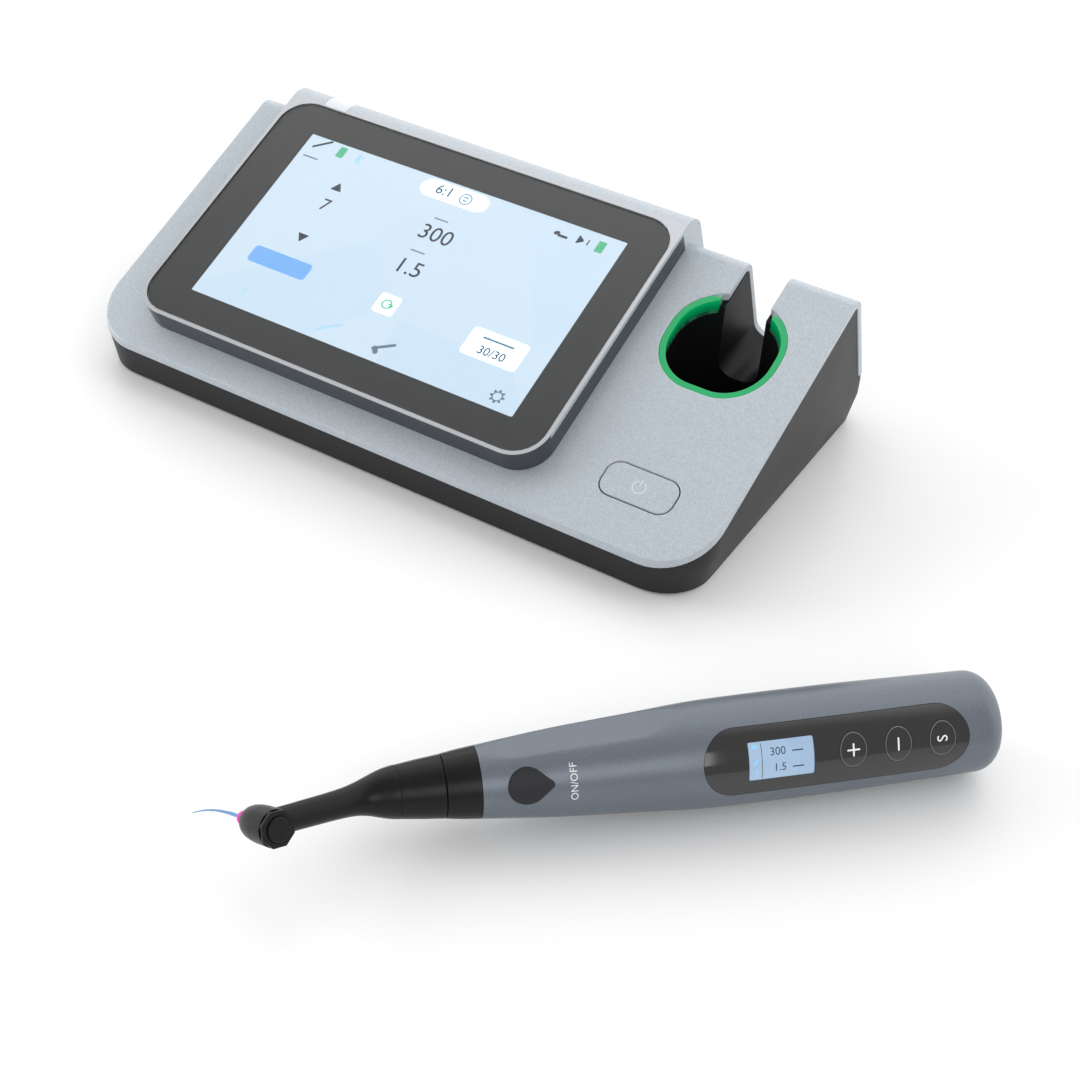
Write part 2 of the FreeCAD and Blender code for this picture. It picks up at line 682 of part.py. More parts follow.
def slope_band(h0, h1):
    return placed(box(-FAR, FAR, -FAR, FAR, h0, h1), SLOPE)


def dock_light_ring():
    """Translucent ring just inside the dock's rim, open where the slot passes."""
    ring = dock_prism(-FIT_GAP, 0, FAR).cut(dock_prism(-LIGHT_RING_WALL, 0, FAR))
    band = slope_band(-LIGHT_RING_SINK - LIGHT_RING_DEPTH, -LIGHT_RING_SINK)
    return ring.common(band).cut(slot_prism(CUP_WALL + FIT_GAP, FAR))


CUP_TOP = -LIGHT_RING_SINK - LIGHT_RING_DEPTH - LIGHT_BOARD_THICKNESS


def dock_light_board():
    """Narrow board of lamps under the light ring."""
    ring = dock_prism(-FIT_GAP, 0, FAR).cut(dock_prism(-LIGHT_RING_WALL, 0, FAR))
    band = slope_band(CUP_TOP, CUP_TOP + LIGHT_BOARD_THICKNESS)
    return ring.common(band).cut(slot_prism(CUP_WALL + FIT_GAP, FAR))


def dock_cup():
    """Black moulded well for the handpiece, with the slot's channel to the back."""
    below = slope_band(-FAR, CUP_TOP)
    well = dock_prism(-FIT_GAP, CUP_FLOOR_HEIGHT - CUP_WALL, FAR).common(below)
    bore = dock_prism(-LIGHT_RING_WALL - FIT_GAP, CUP_FLOOR_HEIGHT, FAR)
    under = wedge(-COVER_WALL, -COVER_WALL, RIDGE_RADIUS - COVER_WALL, -FAR, FAR)
    channel = slot_prism(CUP_WALL, CUP_WALL).common(under)
    channel = channel.cut(box(-FAR, FAR, -FAR, DOCK_Y + DOCK_LENGTH_Y / 4, -FAR, FAR))
    solid = well.fuse(channel).cut([bore, slot_prism(0, 0)])
    pins = [Part.makeCylinder(PIN_RADIUS + FIT_GAP, FAR, Vector(p.x, p.y, 0))
            for p in contact_places()]
    return solid.cut(pins).removeSplitter()


def contact_places():
    half = CONTACT_SPACING / 2
    return [Vector(DOCK_X - half, DOCK_Y, 0), Vector(DOCK_X + half, DOCK_Y, 0)]


BLOCK_TOP = CUP_FLOOR_HEIGHT - CUP_WALL
PIN_STOP = BLOCK_TOP - FIT_GAP
SPRING_FOOT = PLATE_TOP + BLOCK_FLOOR


def contact_block():
    """Insulating block under the cup that guides the two charging pins."""
    half_x = CONTACT_SPACING / 2 + PIN_FLANGE_RADIUS + BLOCK_MARGIN
    half_y = BLOCK_WIDTH / 2
    solid = box(DOCK_X - half_x, DOCK_X + half_x, DOCK_Y - half_y, DOCK_Y + half_y,
                PLATE_TOP, BLOCK_TOP)
    bores = [Part.makeCylinder(PIN_FLANGE_RADIUS + FIT_GAP, FAR, Vector(p.x, p.y, SPRING_FOOT))
             for p in contact_places()]
    return solid.cut(bores)


def contact_pin(p):
    """Gold-plated spring pin with the flange that keeps it in the block."""
    flange = Part.makeCylinder(PIN_FLANGE_RADIUS, PIN_FLANGE_THICKNESS,
                               Vector(p.x, p.y, PIN_STOP - PIN_FLANGE_THICKNESS))
    top = CUP_FLOOR_HEIGHT + PIN_PROUD
    stem = Part.makeCylinder(PIN_RADIUS, top - PIN_STOP + PIN_FLANGE_THICKNESS,
                             Vector(p.x, p.y, PIN_STOP - PIN_FLANGE_THICKNESS))
    tip = [e for e in stem.Edges if abs(e.CenterOfMass.z - top) < 1e-6]
    return flange.fuse(stem.makeFillet(PIN_RADIUS * PIN_TIP_SHARE, tip)).removeSplitter()


def contact_spring(p):
    """Metal bellows spring under a charging pin."""
    top = PIN_STOP - PIN_FLANGE_THICKNESS
    fold = (top - SPRING_FOOT) / SPRING_FOLDS
    outer, inner = [], []
    for i in range(2 * SPRING_FOLDS + 1):
        radius = SPRING_RADIUS if i % 2 else SPRING_RADIUS - SPRING_FOLD_DEPTH
        outer.append(Vector(radius, 0, SPRING_FOOT + fold * i / 2))
        inner.append(Vector(radius - SPRING_WALL, 0, SPRING_FOOT + fold * i / 2))
    profile = Part.Face(Part.makePolygon(outer + inner[::-1] + outer[:1]))
    bellows = profile.revolve(Vector(0, 0, 0), Vector(0, 0, 1), 360)
    return placed(bellows, Placement(Vector(p.x, p.y, 0), Rotation()))


# ================================================================ console inner pieces

MAIN_BOARD_BASE = PLATE_TOP + POST_HEIGHT
MAIN_BOARD_TOP = MAIN_BOARD_BASE + BOARD_THICKNESS


def main_board():
    """Main circuit board on four posts above the base plate."""
    board = box(BOARD_LEFT, BOARD_RIGHT, BOARD_FRONT, BOARD_REAR, MAIN_BOARD_BASE, MAIN_BOARD_TOP)
    posts = [Part.makeCylinder(POST_RADIUS, POST_HEIGHT, Vector(x, y, PLATE_TOP))
             for x in (BOARD_LEFT + POST_INSET, BOARD_RIGHT - POST_INSET)
             for y in (BOARD_FRONT + POST_INSET, BOARD_REAR - POST_INSET)]
    return board.fuse(posts).removeSplitter()


# Each chip's middle across and along, its length, its width and its height.
CHIPS = {"processor": (-60, -2, 14, 14, 1.4), "memory": (-40, -4, 10, 8, 1.2),
         "driver": (-66, 22, 8, 6, 1.2), "ribbon connector": (-36, 20, 12, 7, 4.0),
         "battery connector": (-2, 24, 8, 12, 5.0), "charger": (2, -8, 8, 8, 2.0)}


def main_board_chips():
    """Chips and connectors on the main board."""
    return Part.makeCompound([
        box(x - length / 2, x + length / 2, y - width / 2, y + width / 2,
            MAIN_BOARD_TOP, MAIN_BOARD_TOP + height)
        for x, y, length, width, height in CHIPS.values()])


def battery_pack():
    """Lithium pack beside the dock."""
    return rounded_box(BATTERY_LEFT, BATTERY_RIGHT, BATTERY_FRONT, BATTERY_REAR,
                       PLATE_TOP, PLATE_TOP + BATTERY_HEIGHT, BATTERY_RADIUS)


def speaker():
    """Small loudspeaker facing the base plate."""
    place = Vector(SPEAKER_X, SPEAKER_Y, PLATE_TOP)
    cone = Part.makeCylinder(SPEAKER_RADIUS, SPEAKER_HEIGHT, place)
    magnet = Part.makeCylinder(MAGNET_RADIUS, MAGNET_HEIGHT, place + Vector(0, 0, SPEAKER_HEIGHT))
    return cone.fuse(magnet).removeSplitter()


def power_button():
    """Painted button flush in the slope, with the flange that keeps it in."""
    cap = button_prism(0, -COVER_WALL - FIT_GAP, 0)
    flange_top = -COVER_WALL - FIT_GAP
    flange = button_prism(BUTTON_FLANGE, flange_top - BUTTON_FLANGE_THICKNESS, flange_top)
    return cap.fuse(flange).removeSplitter()


SWITCH_TOP = -COVER_WALL - FIT_GAP - BUTTON_FLANGE_THICKNESS - BUTTON_TRAVEL - SWITCH_GAP


def slope_block(x, s, length, width, h0, h1):
    return placed(box(x - length / 2, x + length / 2, s - width / 2, s + width / 2, h0, h1), SLOPE)


def power_switch():
    """Click switch under the power button."""
    body_top = SWITCH_TOP - PLUNGER_HEIGHT
    body = slope_block(BUTTON_X, BUTTON_S, SWITCH_SIDE, SWITCH_SIDE, SWITCH_TOP - SWITCH_HEIGHT,
                       body_top)
    plunger = Part.makeCylinder(PLUNGER_RADIUS, PLUNGER_HEIGHT,
                                Vector(BUTTON_X, BUTTON_S, body_top))
    return body.fuse(placed(plunger, SLOPE)).removeSplitter()


def power_switch_board():
    top = SWITCH_TOP - SWITCH_HEIGHT
    return slope_block(BUTTON_X, BUTTON_S, BUTTON_LENGTH, BUTTON_WIDTH,
                       top - SWITCH_BOARD_THICKNESS, top)


def power_socket():
    """Charging socket in the tub's back: a pressed shell with a tongue."""
    shell = socket_box(SOCKET_SHELL, SOCKET_SHELL, -SOCKET_SETBACK)
    shell = shell.cut(socket_box(0, 0, SOCKET_ROOM))
    tongue = box(-TONGUE_WIDTH / 2, TONGUE_WIDTH / 2, -SOCKET_DEPTH, -TONGUE_SETBACK,
                 -TONGUE_THICKNESS / 2, TONGUE_THICKNESS / 2)
    return placed(shell.fuse(tongue).removeSplitter(), socket_placement())


# ================================================================ handpiece

def hand_placement():
    """Rear end of the handpiece on the table: X along it to the nose, Z out of its panel."""
    yaw = math.radians(HAND_YAW)
    roll = math.radians(HAND_ROLL)
    forward = Vector(-math.cos(yaw), -math.sin(yaw), 0)
    outward = Vector(math.sin(yaw), -math.cos(yaw), 0)
    up = outward * math.cos(roll) + Vector(0, 0, math.sin(roll))
    side = up.cross(forward)
    matrix = FreeCAD.Matrix(forward.x, side.x, up.x, HAND_REAR_X,
                            forward.y, side.y, up.y, HAND_REAR_Y,
                            forward.z, side.z, up.z, HAND_RADIUS, 0, 0, 0, 1)
    return Placement(matrix)


SLEEVE_START = HAND_LENGTH + NOSE_RING_LENGTH + SLEEVE_GAP
SLEEVE_END = SLEEVE_START + SLEEVE_LENGTH
BEND_POSITION = SLEEVE_END + BEND_LEAD
HAND = hand_placement()
NECK = HAND.multiply(Placement(Vector(BEND_POSITION, 0, 0),
                               Rotation(Vector(0, 1, 0), -BEND_ANGLE)))
HEAD = NECK.multiply(Placement(Vector(NECK_LENGTH, 0, 0), Rotation()))


def body_profile(inset, rear, front):
    """The handpiece's outline as (along, radius), drawn in by an amount."""
    corner = HAND_REAR_CORNER
    arc = [(corner * (1 - math.cos(a)), HAND_REAR_RADIUS - corner * (1 - math.sin(a)))
           for a in [math.radians(d) for d in (0, 22.5, 45, 67.5, 90)]]
    straight = [(BELLY_START, HAND_RADIUS), (BELLY_END, HAND_RADIUS),
                (GRIP_START - GRIP_BLEND_LENGTH, HAND_RADIUS - GRIP_BLEND_DROP),
                (GRIP_START, GRIP_RADIUS), (GRIP_MIDDLE, GRIP_MIDDLE_RADIUS)]
    if not inset:
        return arc + straight + [(HAND_LENGTH, NOSE_RADIUS)]
    inner = [(rear, HAND_REAR_RADIUS - inset - INNER_CORNER),
             (rear + INNER_CORNER, HAND_REAR_RADIUS - inset)]
    inner += [(w, r - inset) for w, r in straight]
    slope = (NOSE_RADIUS - GRIP_MIDDLE_RADIUS) / (HAND_LENGTH - GRIP_MIDDLE)
    inner.append((front, NOSE_RADIUS - inset + slope * (front - HAND_LENGTH)))
    return inner


def skin(depth_out, depth_in):
    """A layer of the handpiece's wall, between two depths below its surface."""
    outer = turned([(w, r - depth_out) for w, r in body_profile(0, 0, 0)])
    inner = turned([(w, r - depth_in) for w, r in body_profile(0, 0, 0)])
    return outer.cut(inner)


def stadium(grow, z0, z1):
    """The control panel's round-ended outline as a block standing on the axis."""
    half = PANEL_WIDTH / 2 + grow
    return rounded_box(PANEL_REAR - grow, PANEL_FRONT + grow, -half, half, z0, z1,
                       half - FILLET_SLACK)


def key_centres():
    return [KEY_FIRST + KEY_SPACING * i for i in range(3)]


def key_prism(centre, grow, z0, z1):
    """An oval block for a key, longer across the handpiece than along it."""
    ellipse = Part.Ellipse(Vector(0, 0, 0), KEY_WIDTH / 2 + grow, KEY_LENGTH / 2 + grow)
    face = Part.Face(Part.Wire(ellipse.toShape()))
    solid = face.extrude(Vector(0, 0, z1 - z0))
    return placed(solid, Placement(Vector(centre, 0, z0), Rotation(Vector(0, 0, 1), 90)))


def teardrop(grow, z0, z1):
    """The on/off button's outline: round towards the nose, pointed to the rear."""
    radius = ONOFF_RADIUS + grow
    tip = ONOFF_TIP - grow * ONOFF_TIP_GROWTH
    reach = ONOFF_CENTRE - tip
    lean = math.acos(radius / reach)
    touch = Vector(ONOFF_CENTRE - radius * math.cos(lean), radius * math.sin(lean), z0)
    mirror = Vector(touch.x, -touch.y, z0)
    front = Vector(ONOFF_CENTRE + radius, 0, z0)
    edges = [Part.Arc(mirror, front, touch).toShape(),
             Part.LineSegment(touch, Vector(tip, 0, z0)).toShape(),
             Part.LineSegment(Vector(tip, 0, z0), mirror).toShape()]
    solid = Part.Face(Part.Wire(edges)).extrude(Vector(0, 0, z1 - z0))
    point = [e for e in solid.Edges if all(abs(v.X - tip) < 1e-6 for v in e.Vertexes)]
    return solid.makeFillet(ONOFF_TIP_RADIUS + grow, point)


def display_prism(grow, z0, z1):
    half = HAND_DISPLAY_WIDTH / 2 + grow
    return box(HAND_DISPLAY_REAR - grow, HAND_DISPLAY_FRONT + grow, -half, half, z0, z1)


def handpiece_housing():
    """Moulded body of the handpiece, closed at the rear, with a seat for the panel."""
    outer = turned(body_profile(0, 0, 0))
    inner = turned(body_profile(HAND_WALL, REAR_WALL, HAND_LENGTH + OVERSHOOT))
    seat = skin(-OVERSHOOT, PANEL_THICKNESS + PANEL_PLAY).common(stadium(PANEL_PLAY, 0, FAR))
    windows = [key_prism(c, -KEY_WINDOW_INSET, PANEL_WINDOW_BASE, FAR) for c in key_centres()]
    windows.append(display_prism(HAND_DISPLAY_PLAY, PANEL_WINDOW_BASE, FAR))
    windows.append(teardrop(PANEL_PLAY, ONOFF_WINDOW_BASE, FAR))
    pads = [Part.makeCylinder(CONTACT_PAD_RADIUS, REAR_WALL + 2 * OVERSHOOT,
                              Vector(-OVERSHOOT, y, 0), Vector(1, 0, 0))
            for y in (-CONTACT_SPACING / 2, CONTACT_SPACING / 2)]
    return placed(outer.cut([inner, seat] + windows + pads), HAND)


def panel_lens():
    """Glossy black panel flush in the handpiece, with openings for the three keys."""
    lens = skin(0, PANEL_THICKNESS).common(stadium(0, 0, FAR))
    return placed(lens.cut([key_prism(c, 0, 0, FAR) for c in key_centres()]), HAND)


SWITCH_STACK = HAND_BOARD_HEIGHT + HAND_BOARD_THICKNESS + HAND_SWITCH_HEIGHT


def panel_key(centre):
    """One oval key of the panel with the stem that reaches its switch."""
    cap = skin(0, KEY_THICKNESS).common(key_prism(centre, -PANEL_PLAY, 0, FAR))
    foot = SWITCH_STACK + KEY_TRAVEL + KEY_REST_GAP
    stem = Part.makeCylinder(KEY_STEM_RADIUS, KEY_STEM_TOP - foot, Vector(centre, 0, foot))
    return placed(cap.fuse(stem).removeSplitter(), HAND)


def key_switches():
    """Three click switches under the keys."""
    base = HAND_BOARD_HEIGHT + HAND_BOARD_THICKNESS
    half = KEY_SWITCH_SIDE / 2
    return Part.makeCompound([placed(box(c - half, c + half, -half, half, base, SWITCH_STACK), HAND)
                              for c in key_centres()])


def onoff_button():
    """Teardrop start button, slightly proud of the grip."""
    layer = skin(-ONOFF_PROUD, HAND_WALL - ONOFF_BACK_GAP)
    return placed(layer.common(teardrop(0, 0, FAR)), HAND)


def onoff_switch():
    """Click switch on a small board under the start button."""
    middle = ONOFF_CENTRE - ONOFF_SWITCH_OFFSET
    top = GRIP_MIDDLE_RADIUS - HAND_WALL - ONOFF_TRAVEL - ONOFF_SWITCH_DROP
    foot = top - ONOFF_SWITCH_HEIGHT
    half = ONOFF_SWITCH_SIDE / 2
    half_length = ONOFF_BOARD_LENGTH / 2
    half_width = ONOFF_BOARD_WIDTH / 2
    switch = box(middle - half, middle + half, -half, half, foot, top)
    board = box(middle - half_length, middle + half_length, -half_width, half_width,
                foot - ONOFF_BOARD_THICKNESS, foot)
    return placed(switch.fuse(board).removeSplitter(), HAND)


def handpiece_display():
    top = HAND_RADIUS - PANEL_THICKNESS - HAND_DISPLAY_DROP
    return placed(display_prism(0, top - HAND_DISPLAY_THICKNESS, top), HAND)


def handpiece_board():
    half = HAND_BOARD_WIDTH / 2
    return placed(box(CELL_START + HAND_BOARD_REAR_GAP, MOTOR_START + HAND_BOARD_REACH, -half, half,
                      HAND_BOARD_HEIGHT, HAND_BOARD_HEIGHT + HAND_BOARD_THICKNESS), HAND)


CELL_PLACE = HAND.multiply(Placement(Vector(0, 0, -CELL_DROP), Rotation()))


def handpiece_cell():
    """Round lithium cell with its raised contact."""
    axis = Vector(1, 0, 0)
    end = CELL_START + CELL_LENGTH
    can = cylinder(CELL_RADIUS, CELL_START, end, axis)
    button = cylinder(CELL_BUTTON_RADIUS, end, end + CELL_BUTTON_HEIGHT, axis)
    return placed(can.fuse(button).removeSplitter(), CELL_PLACE)


def cell_cradle():
    """Trough that holds the cell, with end plates."""
    inner = CELL_RADIUS + FIT_GAP
    outer = inner + CRADLE_WALL
    rear = CELL_START - CRADLE_REAR_REACH
    front = CELL_START + CELL_LENGTH + CRADLE_FRONT_REACH
    contact = CELL_START + CELL_LENGTH + CELL_BUTTON_HEIGHT + 2 * FIT_GAP
    trough = ring_x(outer, inner, rear, front)
    ends = [ring_x(outer, CRADLE_NOTCH_RADIUS, rear, CELL_START - FIT_GAP),
            ring_x(outer, CRADLE_NOTCH_RADIUS, contact, front)]
    solid = trough.fuse(ends).removeSplitter()
    return placed(solid.common(box(-FAR, FAR, -FAR, FAR, -FAR, CRADLE_TOP)), CELL_PLACE)


def charge_contacts():
    """Two plated pads in the rear end that meet the dock's pins."""
    axis = Vector(1, 0, 0)
    pads = []
    for y in (-CONTACT_SPACING / 2, CONTACT_SPACING / 2):
        pad = Part.makeCylinder(CONTACT_PAD_RADIUS, REAR_WALL - CONTACT_PAD_GAP, Vector(0, y, 0),
                                axis)
        pads.append(placed(pad, HAND))
    return Part.makeCompound(pads)


def motor_can():
    """Steel can of the coreless motor."""
    end = MOTOR_START + MOTOR_LENGTH
    can = ring_x(MOTOR_RADIUS, MOTOR_RADIUS - MOTOR_WALL, MOTOR_START, end)
    caps = [ring_x(MOTOR_RADIUS, BEARING_RADIUS, MOTOR_START, MOTOR_START + BEARING_WIDTH),
            ring_x(MOTOR_RADIUS, BEARING_RADIUS, end - BEARING_WIDTH, end)]
    return placed(can.fuse(caps).removeSplitter(), HAND)


def motor_bearings():
    end = MOTOR_START + MOTOR_LENGTH
    bore = MOTOR_SHAFT_RADIUS + SHAFT_CLEARANCE
    rings = [ring_x(BEARING_RADIUS, bore, MOTOR_START, MOTOR_START + BEARING_WIDTH),
             ring_x(BEARING_RADIUS, bore, end - BEARING_WIDTH, end)]
    return Part.makeCompound([placed(r, HAND) for r in rings])


def motor_rotor():
    """Rotor, shaft and the driving dog at its front end."""
    axis = Vector(1, 0, 0)
    half = DOG_SLOT_WIDTH / 2
    shaft = cylinder(MOTOR_SHAFT_RADIUS, MOTOR_START - OVERSHOOT, DOG_START + OVERSHOOT, axis)
    core = cylinder(ROTOR_RADIUS, MOTOR_START + ROTOR_END_GAP,
                    MOTOR_START + MOTOR_LENGTH - ROTOR_END_GAP, axis)
    dog = cylinder(DOG_RADIUS, DOG_START, DOG_END, axis)
    slot = box(DOG_END - DOG_SLOT_DEPTH, FAR, -half, half, -FAR, FAR)
    return placed(shaft.fuse([core, dog]).cut(slot).removeSplitter(), HAND)


def nose_ring():
    """Black ring screwed into the handpiece's front, bored for the contra-angle."""
    spigot = NOSE_RADIUS - HAND_WALL - FIT_GAP
    profile = [(HAND_LENGTH - NOSE_SPIGOT_LENGTH, spigot), (HAND_LENGTH, spigot),
               (HAND_LENGTH, NOSE_RADIUS), (HAND_LENGTH + NOSE_RING_LENGTH, NOSE_RING_RADIUS)]
    bore = cylinder(STUB_RADIUS + SWIVEL_CLEARANCE, 0, FAR, Vector(1, 0, 0))
    return placed(turned(profile).cut(bore), HAND)


# ================================================================ contra-angle

def contra_sleeve():
    """Rear sleeve of the contra-angle with the stub that turns in the nose ring."""
    profile = [(STUB_START, STUB_RADIUS), (SLEEVE_START, STUB_RADIUS),
               (SLEEVE_START, NOSE_RING_RADIUS - FIT_GAP), (SLEEVE_END, SLEEVE_RADIUS)]
    bore = cylinder(STUB_RADIUS - STUB_WALL, 0, FAR, Vector(1, 0, 0))
    return placed(turned(profile).cut(bore), HAND)


def contra_neck():
    """Bent neck and head of the contra-angle in one piece, bored for its shafts."""
    bend_radius = SLEEVE_RADIUS - BEND_DRAW_IN
    ball = Part.makeSphere(bend_radius, Vector(BEND_POSITION, 0, 0))
    start = turned([(SLEEVE_END, SLEEVE_RADIUS), (SLEEVE_END + SLEEVE_LAND, SLEEVE_RADIUS),
                    (BEND_POSITION, bend_radius)])
    neck = turned([(0, bend_radius), (NECK_FLARE_LENGTH, NECK_RADIUS),
                   (NECK_LENGTH, NECK_END_RADIUS)])
    head = turned([(-HEAD_BELOW, HEAD_TIP_RADIUS),
                   (-HEAD_BELOW + HEAD_TAPER_LENGTH, HEAD_RADIUS - HEAD_TAPER),
                   (0, HEAD_RADIUS), (HEAD_ABOVE, HEAD_RADIUS)])
    upright = Placement(Vector(), Rotation(Vector(0, 1, 0), -90))
    bores = [placed(cylinder(STUB_RADIUS - STUB_WALL, SLEEVE_END - OVERSHOOT,
                             BEND_POSITION - BEND_WEB, Vector(1, 0, 0)), HAND),
             placed(Part.makeSphere(BEND_CAVITY_RADIUS), NECK),
             placed(cylinder(NECK_BORE, 0, NECK_LENGTH, Vector(1, 0, 0)), NECK),
             placed(cylinder(HEAD_BORE, -HEAD_BELOW + HEAD_FLOOR, HEAD_ABOVE + OVERSHOOT), HEAD),
             placed(cylinder(SPINDLE_RADIUS + SPINDLE_GAP, -HEAD_BELOW - OVERSHOOT, 0), HEAD)]
    outer = placed(ball.fuse(start), HAND).fuse(placed(neck, NECK))
    outer = outer.fuse(placed(placed(head, upright), HEAD))
    return outer.cut(bores).removeSplitter()


def reduction_cartridge():
    """Closed planetary reduction in the sleeve."""
    end = CARTRIDGE_START + CARTRIDGE_LENGTH
    inner = DRIVE_SHAFT_RADIUS + SHAFT_CLEARANCE
    return placed(ring_x(STUB_RADIUS - STUB_WALL - PRESS_GAP, inner,
                         CARTRIDGE_START + CARTRIDGE_INPUT_GAP, end), HAND)


def input_spindle():
    """Input dog of the contra-angle, turned by the motor."""
    end = CARTRIDGE_START + CARTRIDGE_INPUT_GAP - INPUT_CLEARANCE
    half_y = INPUT_BLADE_WIDTH / 2
    half_z = INPUT_BLADE_LENGTH / 2
    flange = cylinder(INPUT_RADIUS, DOG_END + INPUT_BLADE_END, end, Vector(1, 0, 0))
    blade = box(DOG_END + INPUT_BLADE_START, DOG_END + INPUT_BLADE_END, -half_y, half_y,
                -half_z, half_z)
    return placed(flange.fuse(blade).removeSplitter(), HAND)


def bevel_gear(teeth, radius, mate_radius, face, phase):
    """A bevel gear on +Z with its apex at the origin, and a given share of a tooth as phase.

    radius is the pitch radius at the large end, and mate_radius sets the apex distance.
    """
    cone = math.hypot(radius, mate_radius)
    half_angle = math.asin(radius / cone)
    module = 2 * radius / teeth
    top = TOOTH_TOP * module
    root = TOOTH_ROOT * module
    small = (cone - face) / cone

    def along(distance, lift):
        """Radius and height of a point on the cone's side, lifted square to it."""
        return (distance * math.sin(half_angle) + lift * math.cos(half_angle),
                distance * math.cos(half_angle) - lift * math.sin(half_angle))

    low_r, low_z = along(cone * small, -root * small)
    high_r, high_z = along(cone, -root)
    back = high_z + GEAR_BLANK
    profile = [Vector(0, 0, low_z), Vector(low_r, 0, low_z), Vector(high_r, 0, high_z),
               Vector(high_r, 0, back), Vector(0, 0, back), Vector(0, 0, low_z)]
    blank = Part.Face(Part.makePolygon(profile)).revolve(Vector(), Vector(0, 0, 1), 360)
    foot_half = TOOTH_FOOT_HALF * module
    tip_half = TOOTH_TIP_HALF * module

    def section(share):
        """A tooth's outline across the cone, at a share of the cone's length."""
        points = []
        for lift, side in ((-root * TOOTH_SINK, -foot_half), (top, -tip_half),
                           (top, tip_half), (-root * TOOTH_SINK, foot_half)):
            r, z = along(cone * share, lift * share)
            points.append(Vector(r, side * share, z))
        return Part.makePolygon(points + [points[0]])

    tooth = Part.makeLoft([section(small), section(1.0)], True, True)
    copies = []
    for i in range(teeth):
        turn = Rotation(Vector(0, 0, 1), 360.0 * (i + phase) / teeth)
        copies.append(placed(tooth, Placement(Vector(), turn)))
    return blank.fuse(copies).removeSplitter(), back


def facing(direction):
    """Turn that lays a gear's +Z along direction, with its +X in the plane of the bend."""
    z = direction
    y = Vector(0, 1, 0)
    x = y.cross(z)
    return Rotation(x, y, z, "ZXY")


BEND_MATE = BEND_GEAR_RADIUS / math.tan(math.radians(90 - BEND_ANGLE / 2))


def drive_shaft():
    """Slow shaft from the reduction to the bend, with its bevel gear."""
    gear, back = bevel_gear(BEND_GEAR_TEETH, BEND_GEAR_RADIUS, BEND_MATE, BEND_GEAR_FACE, 0)
    seat = Placement(Vector(BEND_POSITION, 0, 0), facing(Vector(-1, 0, 0)))
    shaft = cylinder(DRIVE_SHAFT_RADIUS, CARTRIDGE_START + DRIVE_SHAFT_INSET,
                     BEND_POSITION - back + SHAFT_OVERLAP, Vector(1, 0, 0))
    return placed(placed(gear, seat).fuse(shaft).removeSplitter(), HAND)


PINION_RADIUS = HEAD_GEAR_RADIUS * PINION_TEETH / HEAD_GEAR_TEETH


def neck_shaft():
    """Shaft through the neck: a bevel gear at the bend and the pinion in the head."""
    gear, back = bevel_gear(BEND_GEAR_TEETH, BEND_GEAR_RADIUS, BEND_MATE, BEND_GEAR_FACE, 0.5)
    pinion, pinion_back = bevel_gear(PINION_TEETH, PINION_RADIUS, HEAD_GEAR_RADIUS,
                                     HEAD_GEAR_FACE, 0)
    first = placed(gear, Placement(Vector(), facing(Vector(1, 0, 0))))
    last = placed(pinion, Placement(Vector(NECK_LENGTH, 0, 0), facing(Vector(-1, 0, 0))))
    shaft = cylinder(DRIVE_SHAFT_RADIUS, back - SHAFT_OVERLAP,
                     NECK_LENGTH - pinion_back + SHAFT_OVERLAP, Vector(1, 0, 0))
    return placed(shaft.fuse([first, last]).removeSplitter(), NECK)


def neck_bushes():
    """Two plain bushes that carry the neck shaft."""
    bore = DRIVE_SHAFT_RADIUS + SHAFT_CLEARANCE
    front = NECK_LENGTH - BUSH_FRONT
    rings = [ring_x(NECK_BORE - PRESS_GAP, bore, BUSH_REAR, BUSH_REAR + BUSH_LENGTH),
             ring_x(NECK_BORE - PRESS_GAP, bore, front - BUSH_LENGTH, front)]
    return Part.makeCompound([placed(r, NECK) for r in rings])


SPINDLE_TOP = HEAD_ABOVE - SPINDLE_DROP


def head_spindle():
    """Hollow spindle that grips the file's shank, with the driven bevel gear."""
    gear, _ = bevel_gear(HEAD_GEAR_TEETH, HEAD_GEAR_RADIUS, PINION_RADIUS, HEAD_GEAR_FACE, 0.5)
    down = Placement(Vector(), facing(Vector(0, 0, -1)))
    tube = cylinder(SPINDLE_RADIUS, -HEAD_BELOW + FIT_GAP, SPINDLE_TOP)
    bore = cylinder(SHANK_RADIUS + SHANK_CLEARANCE, -HEAD_BELOW - OVERSHOOT,
                    SPINDLE_TOP - SPINDLE_ROOF)
    return placed(placed(gear, down).fuse(tube).cut(bore).removeSplitter(), HEAD)


def head_bearings():
    """Two ball races in the head, drawn as rings."""
    bore = SPINDLE_RADIUS + SHAFT_CLEARANCE
    outer = HEAD_BORE - PRESS_GAP
    low = -HEAD_BELOW + HEAD_FLOOR + HEAD_BEARING_GAP
    high = SPINDLE_TOP - HEAD_BEARING_WIDTH
    rings = [ring_z(outer, bore, low, low + HEAD_BEARING_WIDTH),
             ring_z(outer, bore, high, high + HEAD_BEARING_WIDTH)]
    return Part.makeCompound([placed(r, HEAD) for r in rings])


